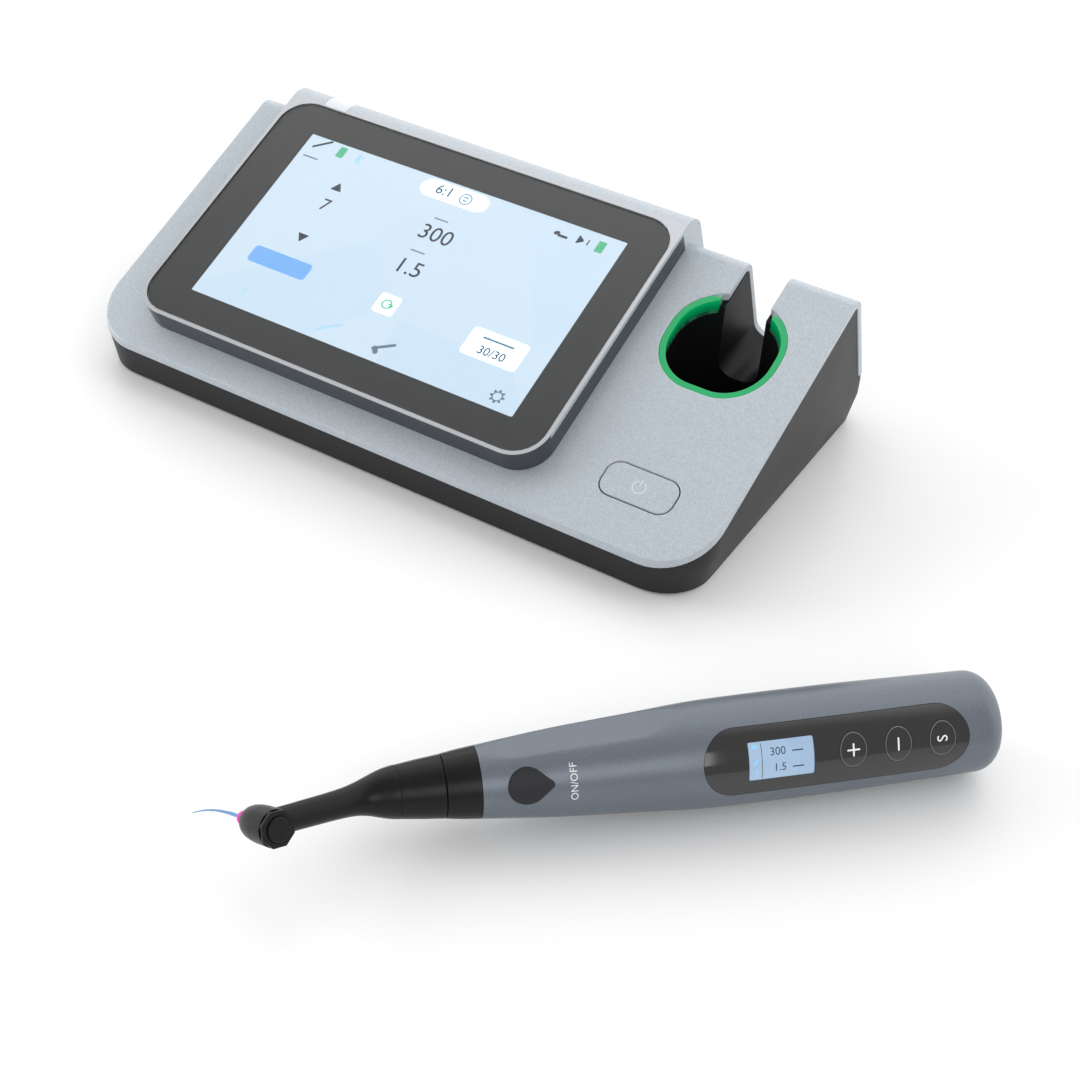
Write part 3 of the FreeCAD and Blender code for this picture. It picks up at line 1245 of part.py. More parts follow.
def head_cap_ring():
    """Screwed ring with wrench flats that closes the head round the push cap."""
    half_side = math.pi / CAP_RING_SIDES
    reach = CAP_RING_RADIUS / math.cos(half_side)
    corners = [Vector(reach * math.cos((2 * i + 1) * half_side),
                      reach * math.sin((2 * i + 1) * half_side), HEAD_ABOVE)
               for i in range(CAP_RING_SIDES)]
    face = Part.Face(Part.makePolygon(corners + [corners[0]]))
    ring = face.extrude(Vector(0, 0, CAP_RING_THICKNESS))
    ring = ring.common(cylinder(HEAD_RADIUS, 0, FAR))
    spigot = cylinder(HEAD_BORE - CAP_THREAD_GAP, HEAD_ABOVE - CAP_RING_SPIGOT, HEAD_ABOVE)
    bore = cylinder(CAP_RADIUS + CAP_PLAY, 0, FAR)
    return placed(ring.fuse(spigot).cut(bore).removeSplitter(), HEAD)


def push_cap():
    """Push cap in the head's top; pressing it frees the file."""
    base = SPINDLE_TOP + CAP_TRAVEL + FIT_GAP
    top = HEAD_ABOVE + CAP_RING_THICKNESS + CAP_PROUD
    cap = cylinder(CAP_RADIUS, base, top)
    rim = [e for e in cap.Edges if abs(e.CenterOfMass.z - top) < 1e-6]
    return placed(cap.makeFillet(CAP_EDGE_RADIUS, rim), HEAD)


# ================================================================ file

FILE_TOP = SPINDLE_TOP - SPINDLE_ROOF - FILE_TOP_GAP
FILE_FOOT = -HEAD_BELOW - FILE_SHANK_BELOW


def file_shank():
    """Plated latch shank of the file."""
    return placed(cylinder(SHANK_RADIUS, FILE_FOOT, FILE_TOP), HEAD)


def file_blade():
    """Nickel-titanium blade: a straight start, then a gentle curve to the tip."""
    start = FILE_FOOT - FILE_SHAFT_LENGTH
    straight = cylinder(FILE_SHAFT_RADIUS, start, FILE_FOOT)
    bend = math.radians(FILE_BLADE_BEND)
    radius = FILE_BLADE_LENGTH / bend
    rings = []
    for i in range(BLADE_STEPS + 1):
        a = bend * i / BLADE_STEPS
        width = FILE_SHAFT_RADIUS + (FILE_TIP_RADIUS - FILE_SHAFT_RADIUS) * i / BLADE_STEPS
        centre = Vector(0, radius * (1 - math.cos(a)), start - radius * math.sin(a))
        heading = Vector(0, math.sin(a), -math.cos(a))
        rings.append(Part.Wire(Part.makeCircle(width, centre, heading)))
    curved = Part.makeLoft(rings, True, False)
    return placed(straight.fuse(curved).removeSplitter(), HEAD)


def file_stop():
    """Silicone stop on the file's straight start."""
    top = FILE_FOOT - STOP_GAP
    return placed(ring_z(STOP_RADIUS, FILE_SHAFT_RADIUS + SHAFT_CLEARANCE,
                         top - STOP_THICKNESS, top), HEAD)


pin_left, pin_right = contact_places()
key_s, key_minus, key_plus = key_centres()

nodes = {
    "base_plate": base_plate(), "grip_pad": grip_pad(), "base_screws": base_screws(),
    "base_tub": base_tub(), "top_cover": top_cover(), "screen_tray": screen_tray(),
    "screen_bezel": screen_bezel(), "status_window": status_window(),
    "screen_glass": screen_glass(), "display_panel": display_panel(),
    "display_board": display_board(), "display_ribbon": display_ribbon(),
    "dock_cup": dock_cup(), "dock_light_ring": dock_light_ring(),
    "dock_light_board": dock_light_board(), "contact_block": contact_block(),
    "contact_pin_left": contact_pin(pin_left), "contact_pin_right": contact_pin(pin_right),
    "contact_spring_left": contact_spring(pin_left),
    "contact_spring_right": contact_spring(pin_right), "main_board": main_board(),
    "main_board_chips": main_board_chips(), "battery_pack": battery_pack(),
    "speaker": speaker(), "power_button": power_button(), "power_switch": power_switch(),
    "power_switch_board": power_switch_board(), "power_socket": power_socket(),
    "handpiece_housing": handpiece_housing(), "nose_ring": nose_ring(),
    "panel_lens": panel_lens(), "key_plus": panel_key(key_plus),
    "key_minus": panel_key(key_minus), "key_s": panel_key(key_s),
    "key_switches": key_switches(), "onoff_button": onoff_button(),
    "onoff_switch": onoff_switch(), "handpiece_display": handpiece_display(),
    "handpiece_board": handpiece_board(), "handpiece_cell": handpiece_cell(),
    "cell_cradle": cell_cradle(), "charge_contacts": charge_contacts(),
    "motor_can": motor_can(), "motor_bearings": motor_bearings(), "motor_rotor": motor_rotor(),
    "contra_sleeve": contra_sleeve(), "contra_neck": contra_neck(),
    "reduction_cartridge": reduction_cartridge(), "input_spindle": input_spindle(),
    "drive_shaft": drive_shaft(), "neck_shaft": neck_shaft(), "neck_bushes": neck_bushes(),
    "head_spindle": head_spindle(), "head_bearings": head_bearings(),
    "head_cap_ring": head_cap_ring(), "push_cap": push_cap(), "file_shank": file_shank(),
    "file_blade": file_blade(), "file_stop": file_stop(),
}

os.makedirs("parts", exist_ok=True)
for name, shape in nodes.items():
    shape.exportStep(f"parts/{name}.step")
print(len(nodes), "nodes")
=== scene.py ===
import math

import bmesh
import bpy
from mathutils import Matrix, Vector


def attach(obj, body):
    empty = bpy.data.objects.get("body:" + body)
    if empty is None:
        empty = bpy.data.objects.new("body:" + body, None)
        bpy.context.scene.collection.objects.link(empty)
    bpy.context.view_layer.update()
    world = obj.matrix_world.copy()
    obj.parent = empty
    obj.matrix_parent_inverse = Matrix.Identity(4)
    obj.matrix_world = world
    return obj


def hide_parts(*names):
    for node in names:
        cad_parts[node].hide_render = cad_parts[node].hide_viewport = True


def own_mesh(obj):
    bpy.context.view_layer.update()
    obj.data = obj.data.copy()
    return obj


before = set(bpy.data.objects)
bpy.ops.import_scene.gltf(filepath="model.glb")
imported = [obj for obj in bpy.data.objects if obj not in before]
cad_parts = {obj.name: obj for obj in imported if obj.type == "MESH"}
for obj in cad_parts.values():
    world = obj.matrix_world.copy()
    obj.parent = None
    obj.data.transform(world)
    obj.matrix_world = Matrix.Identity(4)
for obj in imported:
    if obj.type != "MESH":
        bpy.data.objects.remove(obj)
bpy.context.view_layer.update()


# ---------------------------------------------------------------- camera
# A product view from above the right front corner. It stands 0.6 m away, tipped down by 39
# degrees, so that the console's face, its right end and the whole handpiece are seen.

VIEW_TURN, VIEW_TIP, VIEW_ROLL = 0.5026, 0.6814, 0.0695

backward = Vector((math.sin(VIEW_TURN) * math.cos(VIEW_TIP),
                   -math.cos(VIEW_TURN) * math.cos(VIEW_TIP), math.sin(VIEW_TIP)))
level = Vector((math.cos(VIEW_TURN), math.sin(VIEW_TURN), 0))
steep = backward.cross(level)
across = level * math.cos(VIEW_ROLL) + steep * math.sin(VIEW_ROLL)
upward = steep * math.cos(VIEW_ROLL) - level * math.sin(VIEW_ROLL)
camera = bpy.data.objects.new("camera", bpy.data.cameras.new("camera"))
camera.data.lens = 60.72
camera.data.sensor_width = 36.0
camera.data.clip_start = 0.01
camera.matrix_world = (Matrix.Translation((0.245334, -0.398321, 0.319516))
                       @ Matrix((across, upward, backward)).transposed().to_4x4())
bpy.context.scene.collection.objects.link(camera)
bpy.context.scene.camera = camera


# ---------------------------------------------------------------- table and light
# A pale sealed table top that gives a faint reflection. A wide white screen behind and above
# gives most of the light, with weak soft boxes at the left and at the front right.

def shader(name):
    """A new material and its Principled shader."""
    material = bpy.data.materials.new(name)
    material.use_nodes = True
    return material, material.node_tree.nodes["Principled BSDF"]


table_top, top_shader = shader("pale_table_top")
ripple = table_top.node_tree.nodes.new("ShaderNodeTexNoise")
ripple.inputs["Scale"].default_value = 3.0
spread = table_top.node_tree.nodes.new("ShaderNodeMapRange")
spread.inputs["To Min"].default_value = 0.30
spread.inputs["To Max"].default_value = 0.36
place = table_top.node_tree.nodes.new("ShaderNodeTexCoord")
table_top.node_tree.links.new(place.outputs["Object"], ripple.inputs["Vector"])
table_top.node_tree.links.new(ripple.outputs["Fac"], spread.inputs["Value"])
table_top.node_tree.links.new(spread.outputs["Result"], top_shader.inputs["Roughness"])
top_shader.inputs["Base Color"].default_value = (0.93, 0.93, 0.93, 1)
top_shader.inputs["Specular IOR Level"].default_value = 0.35
table = bpy.data.meshes.new("table_top")
sheet = bmesh.new()
bmesh.ops.create_grid(sheet, x_segments=1, y_segments=1, size=6.0)
sheet.to_mesh(table)
sheet.free()
table.materials.append(table_top)
table_object = bpy.data.objects.new("table_top", table)
bpy.context.scene.collection.objects.link(table_object)


def soft_box(name, place, target, size, power):
    """A square lamp that faces the target."""
    lamp = bpy.data.lights.new(name, "AREA")
    lamp.size = size
    lamp.energy = power
    holder = bpy.data.objects.new(name, lamp)
    aim = (Vector(place) - Vector(target)).to_track_quat("Z", "Y")
    holder.matrix_world = Matrix.Translation(place) @ aim.to_matrix().to_4x4()
    bpy.context.scene.collection.objects.link(holder)


soft_box("box_left", (-1.25, -0.45, 0.6), (0, 0, 0), 0.8, 7.0)
soft_box("box_front", (0.9, -1.0, 0.8), (0.05, -0.1, 0), 0.7, 4.0)
world = bpy.data.worlds.new("studio")
world.use_nodes = True
sky_place = world.node_tree.nodes.new("ShaderNodeTexCoord")
sky_split = world.node_tree.nodes.new("ShaderNodeSeparateXYZ")
sky_level = world.node_tree.nodes.new("ShaderNodeMapRange")
sky_level.interpolation_type = "SMOOTHSTEP"
for key, value in (("From Min", -0.02), ("From Max", 0.42), ("To Min", 0.60), ("To Max", 1.55)):
    sky_level.inputs[key].default_value = value
world.node_tree.nodes["Background"].inputs["Color"].default_value = (1, 1, 1, 1)
world.node_tree.links.new(sky_place.outputs["Generated"], sky_split.inputs["Vector"])
world.node_tree.links.new(sky_split.outputs["Y"], sky_level.inputs["Value"])
world.node_tree.links.new(sky_level.outputs["Result"],
                          world.node_tree.nodes["Background"].inputs["Strength"])
bpy.context.scene.world = world
bpy.context.scene.view_settings.view_transform = "Standard"


# ---------------------------------------------------------------- folded cover
# The console's cover is one sheet of aluminium alloy, 2.3 mm thick, folded at the ridge and
# cut for the dock and the button. It is sprayed blue grey with a fine metallic flake, and the
# cut edges are eased before painting.

MM = Matrix.Scale(0.001, 4)
SLOPE_ANGLE = math.radians(23.2)
slope = (Matrix.Translation((0, -0.058457, 0.0131))
         @ Matrix.Rotation(SLOPE_ANGLE, 4, "X") @ MM)


def socket(group, name, way, kind, value=None):
    """A named input or output on a node group."""
    made = group.interface.new_socket(name=name, in_out=way, socket_type=kind)
    if value is not None:
        made.default_value = value


def shader_node(tree, kind, values=(), links=(), operation=None):
    """A node with its input values set, then its inputs linked."""
    node = tree.nodes.new(kind)
    if operation:
        node.operation = operation
    for key, value in values:
        node.inputs[key].default_value = value
    for key, source in links:
        tree.links.new(source, node.inputs[key])
    return node


def surface_group():
    """Uneven colour and roughness over a surface, with its fine grain as a height."""
    group = bpy.data.node_groups.new("surface_variation", "ShaderNodeTree")
    socket(group, "Color", "INPUT", "NodeSocketColor", (0.5, 0.5, 0.5, 1))
    socket(group, "Tone", "INPUT", "NodeSocketFloat", 0.08)
    socket(group, "Grain", "INPUT", "NodeSocketFloat", 2000.0)
    socket(group, "Stretch", "INPUT", "NodeSocketVector", (1, 1, 1))
    socket(group, "Roughness", "INPUT", "NodeSocketFloat", 0.4)
    socket(group, "Spread", "INPUT", "NodeSocketFloat", 0.1)
    socket(group, "Color", "OUTPUT", "NodeSocketColor")
    socket(group, "Roughness", "OUTPUT", "NodeSocketFloat")
    socket(group, "Height", "OUTPUT", "NodeSocketFloat")
    given = group.nodes.new("NodeGroupInput").outputs
    result = group.nodes.new("NodeGroupOutput")
    place = group.nodes.new("ShaderNodeTexCoord")
    drawn = shader_node(group, "ShaderNodeVectorMath", (), [(0, place.outputs["Object"]),
                                                            (1, given["Stretch"])], "MULTIPLY")
    fine = shader_node(group, "ShaderNodeTexNoise", [("Detail", 3.0)],
                       [("Vector", drawn.outputs[0]), ("Scale", given["Grain"])])
    broad = shader_node(group, "ShaderNodeTexNoise", [("Scale", 45.0), ("Detail", 4.0)],
                        [("Vector", place.outputs["Object"])])
    both = shader_node(group, "ShaderNodeMath", (),
                       [(0, fine.outputs["Fac"]), (1, broad.outputs["Fac"])], "ADD")
    centred = shader_node(group, "ShaderNodeMath", [(1, 1.0)], [(0, both.outputs[0])],
                          "SUBTRACT")
    toned = shader_node(group, "ShaderNodeMath", [(2, 1.0)],
                        [(0, centred.outputs[0]), (1, given["Tone"])], "MULTIPLY_ADD")
    shade = shader_node(group, "ShaderNodeVectorMath", (), [(0, given["Color"]),
                                                            ("Scale", toned.outputs[0])], "SCALE")
    rough = shader_node(group, "ShaderNodeMath", (),
                        [(0, centred.outputs[0]), (1, given["Spread"]),
                         (2, given["Roughness"])], "MULTIPLY_ADD")
    group.links.new(shade.outputs[0], result.inputs["Color"])
    group.links.new(rough.outputs[0], result.inputs["Roughness"])
    group.links.new(fine.outputs["Fac"], result.inputs["Height"])
    return group


variation = surface_group()


def finish(name, color, roughness, metallic=0.0, tone=0.1, grain=2000.0, stretch=(1, 1, 1),
           spread=0.12, bump=0.00002, coat=0.0, specular=0.5):
    """A material with uneven colour and roughness and a fine grain of the given depth."""
    material, surface = shader(name)
    tree = material.node_tree
    varied = tree.nodes.new("ShaderNodeGroup")
    varied.node_tree = variation
    for key, value in (("Color", (*color, 1)), ("Tone", tone), ("Grain", grain),
                       ("Stretch", stretch), ("Roughness", roughness), ("Spread", spread)):
        varied.inputs[key].default_value = value
    relief = shader_node(tree, "ShaderNodeBump", [("Strength", 0.6), ("Distance", bump)],
                         [("Height", varied.outputs["Height"])])
    tree.links.new(varied.outputs["Color"], surface.inputs["Base Color"])
    tree.links.new(varied.outputs["Roughness"], surface.inputs["Roughness"])
    tree.links.new(relief.outputs["Normal"], surface.inputs["Normal"])
    surface.inputs["Metallic"].default_value = metallic
    surface.inputs["Coat Weight"].default_value = coat
    surface.inputs["Coat Roughness"].default_value = 0.08
    surface.inputs["Specular IOR Level"].default_value = specular
    return material


def add_flakes(material, amount):
    """Lightens and darkens tiny cells of a paint, as metal flake does."""
    tree = material.node_tree
    surface = tree.nodes["Principled BSDF"]
    painted = surface.inputs["Base Color"].links[0].from_socket
    place = tree.nodes.new("ShaderNodeTexCoord")
    cells = shader_node(tree, "ShaderNodeTexVoronoi", [("Scale", 3800.0)],
                        [("Vector", place.outputs["Object"])])
    level = shader_node(tree, "ShaderNodeMapRange",
                        [("To Min", 1 - amount), ("To Max", 1 + amount)],
                        [("Value", cells.outputs["Color"])])
    mixed = shader_node(tree, "ShaderNodeVectorMath", (),
                        [(0, painted), ("Scale", level.outputs["Result"])], "SCALE")
    tree.links.new(mixed.outputs[0], surface.inputs["Base Color"])


def show(name, mesh_data, body, materials, stands_for=(), place=None, crease=35):
    """Makes a finished mesh an object of the motor that rides on a body."""
    if place is not None:
        mesh_data.transform(place)
    mesh = bpy.data.meshes.new(name)
    mesh_data.to_mesh(mesh)
    mesh_data.free()
    for material in materials:
        mesh.materials.append(material)
    mesh.polygons.foreach_set("use_smooth", [True] * len(mesh.polygons))
    mesh.set_sharp_from_angle(angle=math.radians(crease))
    piece = bpy.data.objects.new(name, mesh)
    bpy.context.scene.collection.objects.link(piece)
    even = piece.modifiers.new("even_normals", "WEIGHTED_NORMAL")
    even.keep_sharp = True
    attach(piece, body)
    if stands_for:
        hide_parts(*stands_for)
    return piece


SAME_POINT = 0.000003
SAME_POINT_MM = 0.0005


def eased(made, edge, segments=2, sharp=35):
    """Bevels every edge of a mesh that is sharper than an angle."""
    corners = [e for e in made.edges
               if len(e.link_faces) == 2 and e.calc_face_angle() > math.radians(sharp)]
    bmesh.ops.bevel(made, geom=corners, offset=edge, offset_type="OFFSET", affect="EDGES",
                    segments=segments, profile=0.5, material=-1, clamp_overlap=True)
    return made


def eased_copy(node, edge, segments=2, sharp=32):
    """The CAD node's mesh, merged, with its flat faces joined and its sharp edges eased."""
    copy = bmesh.new()
    copy.from_mesh(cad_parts[node].data)
    bmesh.ops.remove_doubles(copy, verts=copy.verts, dist=SAME_POINT)
    bmesh.ops.dissolve_limit(copy, angle_limit=math.radians(0.5), verts=copy.verts,
                             edges=copy.edges, delimit={"NORMAL"})
    return eased(copy, edge, segments, sharp)


console_paint = finish("console_paint", (0.50, 0.55, 0.595), 0.40, metallic=0.25, tone=0.05,
                       grain=2600.0, bump=0.000012, specular=0.3)
add_flakes(console_paint, 0.16)
show("folded_cover", eased_copy("top_cover", 0.0004), "console", [console_paint],
     ["top_cover"])


# ---------------------------------------------------------------- tub, base plate and feet
# The tub is moulded in graphite ABS with a fine spark texture. A powder-coated steel plate
# closes it underneath, held by four zinc screws, and stands on one silicone rubber pad.

def dress(material, *nodes):
    """Gives CAD nodes a finished material in place of their plain one."""
    for node in nodes:
        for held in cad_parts[node].material_slots:
            held.material = material


graphite = finish("graphite_plastic", (0.014, 0.014, 0.016), 0.46, tone=0.25, grain=5200.0,
                  bump=0.00006, specular=0.3)
powder_coat = finish("powder_coat", (0.13, 0.145, 0.165), 0.5, tone=0.12, grain=1500.0,
                     bump=0.00008)
pad_rubber = finish("pad_rubber", (0.02, 0.02, 0.02), 0.8, tone=0.3, grain=900.0, bump=0.0001)
zinc = finish("zinc_steel", (0.55, 0.55, 0.57), 0.32, metallic=1.0, tone=0.1, grain=600.0,
              stretch=(1, 12, 1))
show("moulded_tub", eased_copy("base_tub", 0.0003), "console", [graphite],
     ["base_tub"])
show("steel_plate", eased_copy("base_plate", 0.0002), "console", [powder_coat],
     ["base_plate"])
show("rubber_pad", eased_copy("grip_pad", 0.0002), "console", [pad_rubber],
     ["grip_pad"])
dress(zinc, "base_screws")


# ---------------------------------------------------------------- screen housing
# A graphite tray carries the screen above the cover. An alloy frame with the hood behind it
# is clipped over the tray, painted as the cover is, with its thin front rim left bright. The rim's
# side walls and the tray's walls are given the cover's paint darkened nearly to black. This is
# painted shade, where those walls stand in shadow.

SCREEN_TOP = 7.9
RIM_DEPTH = 1.9
GLASS_X = (-89.2, 49.8)
GLASS_S = (10.5, 98.8)
FACE_NORMAL = Vector((0, -math.sin(SLOPE_ANGLE), math.cos(SLOPE_ANGLE)))


bright_rim = finish("bright_rim", (0.62, 0.64, 0.67), 0.24, metallic=0.9, tone=0.06,
                    grain=1800.0, stretch=(0.15, 1, 1), bump=0.000008)
# The cover's blue grey paint darkened nearly to black: painted shade for walls that stand in
# shadow.
painted_shade_paint = finish("painted_shade_paint", (0.055, 0.062, 0.070), 0.36, metallic=0.3, tone=0.08,
                     grain=2600.0, bump=0.000012)
frame_mesh = eased_copy("screen_bezel", 0.0003)
for face in frame_mesh.faces:
    points = [slope.inverted() @ v.co for v in face.verts]
    up_face = sum(p.y for p in points) / len(points)
    # Rim faces turned out of the slope get the bright trim. The rim's other faces get the darkened
    # paint, which is painted shade.
    if min(p.z for p in points) > SCREEN_TOP - RIM_DEPTH and up_face < GLASS_S[1] + 1:
        face.material_index = 1 if face.normal.dot(FACE_NORMAL) > 0.2 else 2
show("screen_frame", frame_mesh, "console", [console_paint, bright_rim, painted_shade_paint],
     ["screen_bezel"])
# The tray's walls take the darkened cover paint too, as painted shade.
show("tray_walls", eased_copy("screen_tray", 0.0003), "console", [painted_shade_paint],
     ["screen_tray"])
frosted = finish("frosted_window", (0.72, 0.76, 0.80), 0.35, tone=0.08, bump=0.00002, coat=0.3)
show("status_strip", eased_copy("status_window", 0.0002), "console", [frosted],
     ["status_window"])


# ---------------------------------------------------------------- cover glass and display
# A sheet of float glass with polished edges, printed black on its back round the window, is
# bonded into the frame. The lit display lies under it.

def discs_hull(discs, low, high, segments=32):
    """A flat block round some discs, each given as (x, y, radius), between two heights."""
    made = bmesh.new()
    for x, y, radius in discs:
        for height in (low, high):
            bmesh.ops.create_circle(made, segments=segments, radius=radius,
                                    matrix=Matrix.Translation((x, y, height)))
    hull = bmesh.ops.convex_hull(made, input=made.verts[:])
    inner = {v for v in hull["geom_interior"] if isinstance(v, bmesh.types.BMVert)}
    bmesh.ops.delete(made, geom=list(inner), context="VERTS")
    bmesh.ops.dissolve_limit(made, angle_limit=math.radians(0.5), verts=made.verts[:],
                             edges=made.edges[:])
    bmesh.ops.recalc_face_normals(made, faces=made.faces[:])
    return made


def rounded_plate(x, y, low, high, radius, segments=32):
    """A flat block with round corners, between (x0, x1) and (y0, y1)."""
    discs = [(a, b, radius) for a in (x[0] + radius, x[1] - radius)
             for b in (y[0] + radius, y[1] - radius)]
    return discs_hull(discs, low, high, segments)


def combined(first, second, operation="DIFFERENCE"):
    """Two closed meshes cut, joined or crossed into one. Both are used up."""
    pair = []
    for source in (first, second):
        mesh = bpy.data.meshes.new("blank")
        source.to_mesh(mesh)
        source.free()
        blank = bpy.data.objects.new("blank", mesh)
        bpy.context.scene.collection.objects.link(blank)
        pair.append(blank)
    tool = pair[0].modifiers.new("tool", "BOOLEAN")
    tool.object = pair[1]
    tool.operation = operation
    tool.solver = "EXACT"
    bpy.context.view_layer.update()
    shaped = bpy.data.meshes.new_from_object(
        pair[0].evaluated_get(bpy.context.evaluated_depsgraph_get()))
    result = bmesh.new()
    result.from_mesh(shaped)
    bpy.data.meshes.remove(shaped)
    for blank in pair:
        bpy.data.objects.remove(blank)
    return result


def joined(parts):
    """Several meshes as one. They are used up."""
    whole = bmesh.new()
    for part in parts:
        mesh = bpy.data.meshes.new("part")
        part.to_mesh(mesh)
        part.free()
        whole.from_mesh(mesh)
        bpy.data.meshes.remove(mesh)
    return whole


GLASS_TOP = 7.8
GLASS_BACK = 6.95
PRINT_BACK = 6.86
GLASS_RADIUS = 9.5
WINDOW_MIDDLE = (-18.9, 54.6)
WINDOW_SIZE = (113.5, 67.0)

float_glass, glass_surface = shader("float_glass")
smears = float_glass.node_tree.nodes.new("ShaderNodeGroup")
smears.node_tree = variation
smears.inputs["Color"].default_value = (0.93, 0.94, 0.95, 1)
smears.inputs["Tone"].default_value = 0.02
smears.inputs["Grain"].default_value = 60.0
smears.inputs["Roughness"].default_value = 0.06
smears.inputs["Spread"].default_value = 0.05
float_glass.node_tree.links.new(smears.outputs["Color"], glass_surface.inputs["Base Color"])
float_glass.node_tree.links.new(smears.outputs["Roughness"], glass_surface.inputs["Roughness"])
glass_surface.inputs["Transmission Weight"].default_value = 1.0
glass_surface.inputs["IOR"].default_value = 1.5
black_print = finish("black_print", (0.006, 0.006, 0.007), 0.5, tone=0.2, grain=120.0,
                     bump=0.0)

pane = rounded_plate(GLASS_X, GLASS_S, GLASS_BACK, GLASS_TOP, GLASS_RADIUS, 64)
show("cover_glass_sheet", eased(pane, 0.25, 3), "console", [float_glass],
     ["screen_glass"], slope)
border = rounded_plate((GLASS_X[0] + 0.2, GLASS_X[1] - 0.2), (GLASS_S[0] + 0.2, GLASS_S[1] - 0.2),
                       PRINT_BACK, GLASS_BACK - 0.02, GLASS_RADIUS - 0.2, 64)
window = rounded_plate([WINDOW_MIDDLE[0] + WINDOW_SIZE[0] * k / 2 for k in (-1, 1)],
                       [WINDOW_MIDDLE[1] + WINDOW_SIZE[1] * k / 2 for k in (-1, 1)],
                       PRINT_BACK - 1, GLASS_BACK + 1, 0.6, 16)
show("glass_back_print", combined(border, window), "console", [black_print],
     (), slope)


def two_tones(tree, share, first, second):
    """A colour that goes from the first to the second with a mask."""
    blend = tree.nodes.new("ShaderNodeMix")
    blend.data_type = "RGBA"
    tree.links.new(share, blend.inputs[0])
    blend.inputs[6].default_value = (*first, 1)
    blend.inputs[7].default_value = (*second, 1)
    return blend


def lit_screen(name, low_color, high_color, strength, cell_scale):
    """A lit display whose backdrop is a few faint facets."""
    material, surface = shader(name)
    tree = material.node_tree
    place = tree.nodes.new("ShaderNodeTexCoord")
    cells = shader_node(tree, "ShaderNodeTexVoronoi", [("Scale", cell_scale)],
                        [("Vector", place.outputs["Object"])])
    grey = shader_node(tree, "ShaderNodeRGBToBW", (), [("Color", cells.outputs["Color"])])
    blend = two_tones(tree, grey.outputs["Val"], low_color, high_color)
    tree.links.new(blend.outputs[2], surface.inputs["Emission Color"])
    surface.inputs["Base Color"].default_value = (0.02, 0.03, 0.04, 1)
    surface.inputs["Emission Strength"].default_value = strength
    surface.inputs["Roughness"].default_value = 0.3
    return material


backdrop = lit_screen("display_backdrop", (0.66, 0.84, 1.0), (0.73, 0.88, 1.0), 0.98, 22.0)
dress(backdrop, "display_panel")


# ---------------------------------------------------------------- figures on the display
# The figures are lit areas of the display itself. They show a speed, a torque, a gear ratio
# and plain symbols, and are drawn as a thin layer between the display and the glass.

MARK_HEIGHT = 6.80
FIELD_DROP = 0.05
INK_DEPTH = 0.02


def lettering(words, height, place):
    """Figures as a thin closed mesh, centred at the place's origin."""
    curve = bpy.data.curves.new("words", "FONT")
    curve.body = words
    curve.size = height / 0.72
    curve.align_x = "CENTER"
    curve.align_y = "CENTER"
    curve.resolution_u = 4
    curve.extrude = INK_DEPTH / 2
    holder = bpy.data.objects.new("words", curve)
    mesh = bpy.data.meshes.new_from_object(holder)
    made = bmesh.new()
    made.from_mesh(mesh)
    bmesh.ops.remove_doubles(made, verts=made.verts[:], dist=SAME_POINT_MM)
    made.transform(place)
    bpy.data.objects.remove(holder)
    bpy.data.curves.remove(curve)
    bpy.data.meshes.remove(mesh)
    return made


def on_display(u, v, turn=0.0):
    """A place on the display, from its middle, with a turn in degrees."""
    return (Matrix.Translation((WINDOW_MIDDLE[0] + u, WINDOW_MIDDLE[1] + v, MARK_HEIGHT))
            @ Matrix.Rotation(math.radians(turn), 4, "Z"))


def mark(discs, place):
    """A flat mark round some discs."""
    made = discs_hull(discs, -INK_DEPTH / 2, INK_DEPTH / 2, 12)
    made.transform(place)
    return made


def bar(length, width, place):
    """A short line with round ends."""
    reach = (length - width) / 2
    return mark([(-reach, 0, width / 2), (reach, 0, width / 2)], place)


def field(half_length, half_width, radius, place):
    """A flat field with round corners."""
    return mark([(x, y, radius) for x in (-half_length, half_length)
                 for y in (-half_width, half_width)], place)


def ring(radius, width, place, stretch=1.0):
    """A round or oval outline."""
    outer = discs_hull([(0, 0, radius)], -INK_DEPTH / 2, INK_DEPTH / 2, 48)
    inner = discs_hull([(0, 0, radius - width)], -INK_DEPTH, INK_DEPTH, 48)
    made = combined(outer, inner)
    made.transform(place @ Matrix.Diagonal((1, stretch, 1, 1)))
    return made


def ink(name, color, strength=0.0):
    """Printed or lit figures: a colour with a slight unevenness."""
    material = finish(name, color, 0.5, tone=0.1, grain=4000.0)
    surface = material.node_tree.nodes["Principled BSDF"]
    if strength:
        varied = surface.inputs["Base Color"].links[0].from_socket
        material.node_tree.links.new(varied, surface.inputs["Emission Color"])
        surface.inputs["Emission Strength"].default_value = strength
    return material


dark_figures = ink("dark_figures", (0.025, 0.04, 0.075))
grey_figures = ink("grey_figures", (0.16, 0.24, 0.34), 0.35)
blue_button = ink("blue_button", (0.16, 0.40, 0.78), 0.75)
pale_button = ink("pale_button", (0.76, 0.90, 1.0), 0.97)
sky_figures = ink("sky_figures", (0.36, 0.62, 0.92), 0.75)
green_figures = ink("green_figures", (0.08, 0.50, 0.25), 0.6)

def figure_layer(name, parts, material):
    """One colour's figures as a single piece on the display."""
    show(name, joined(parts), "console", [material], (), slope)


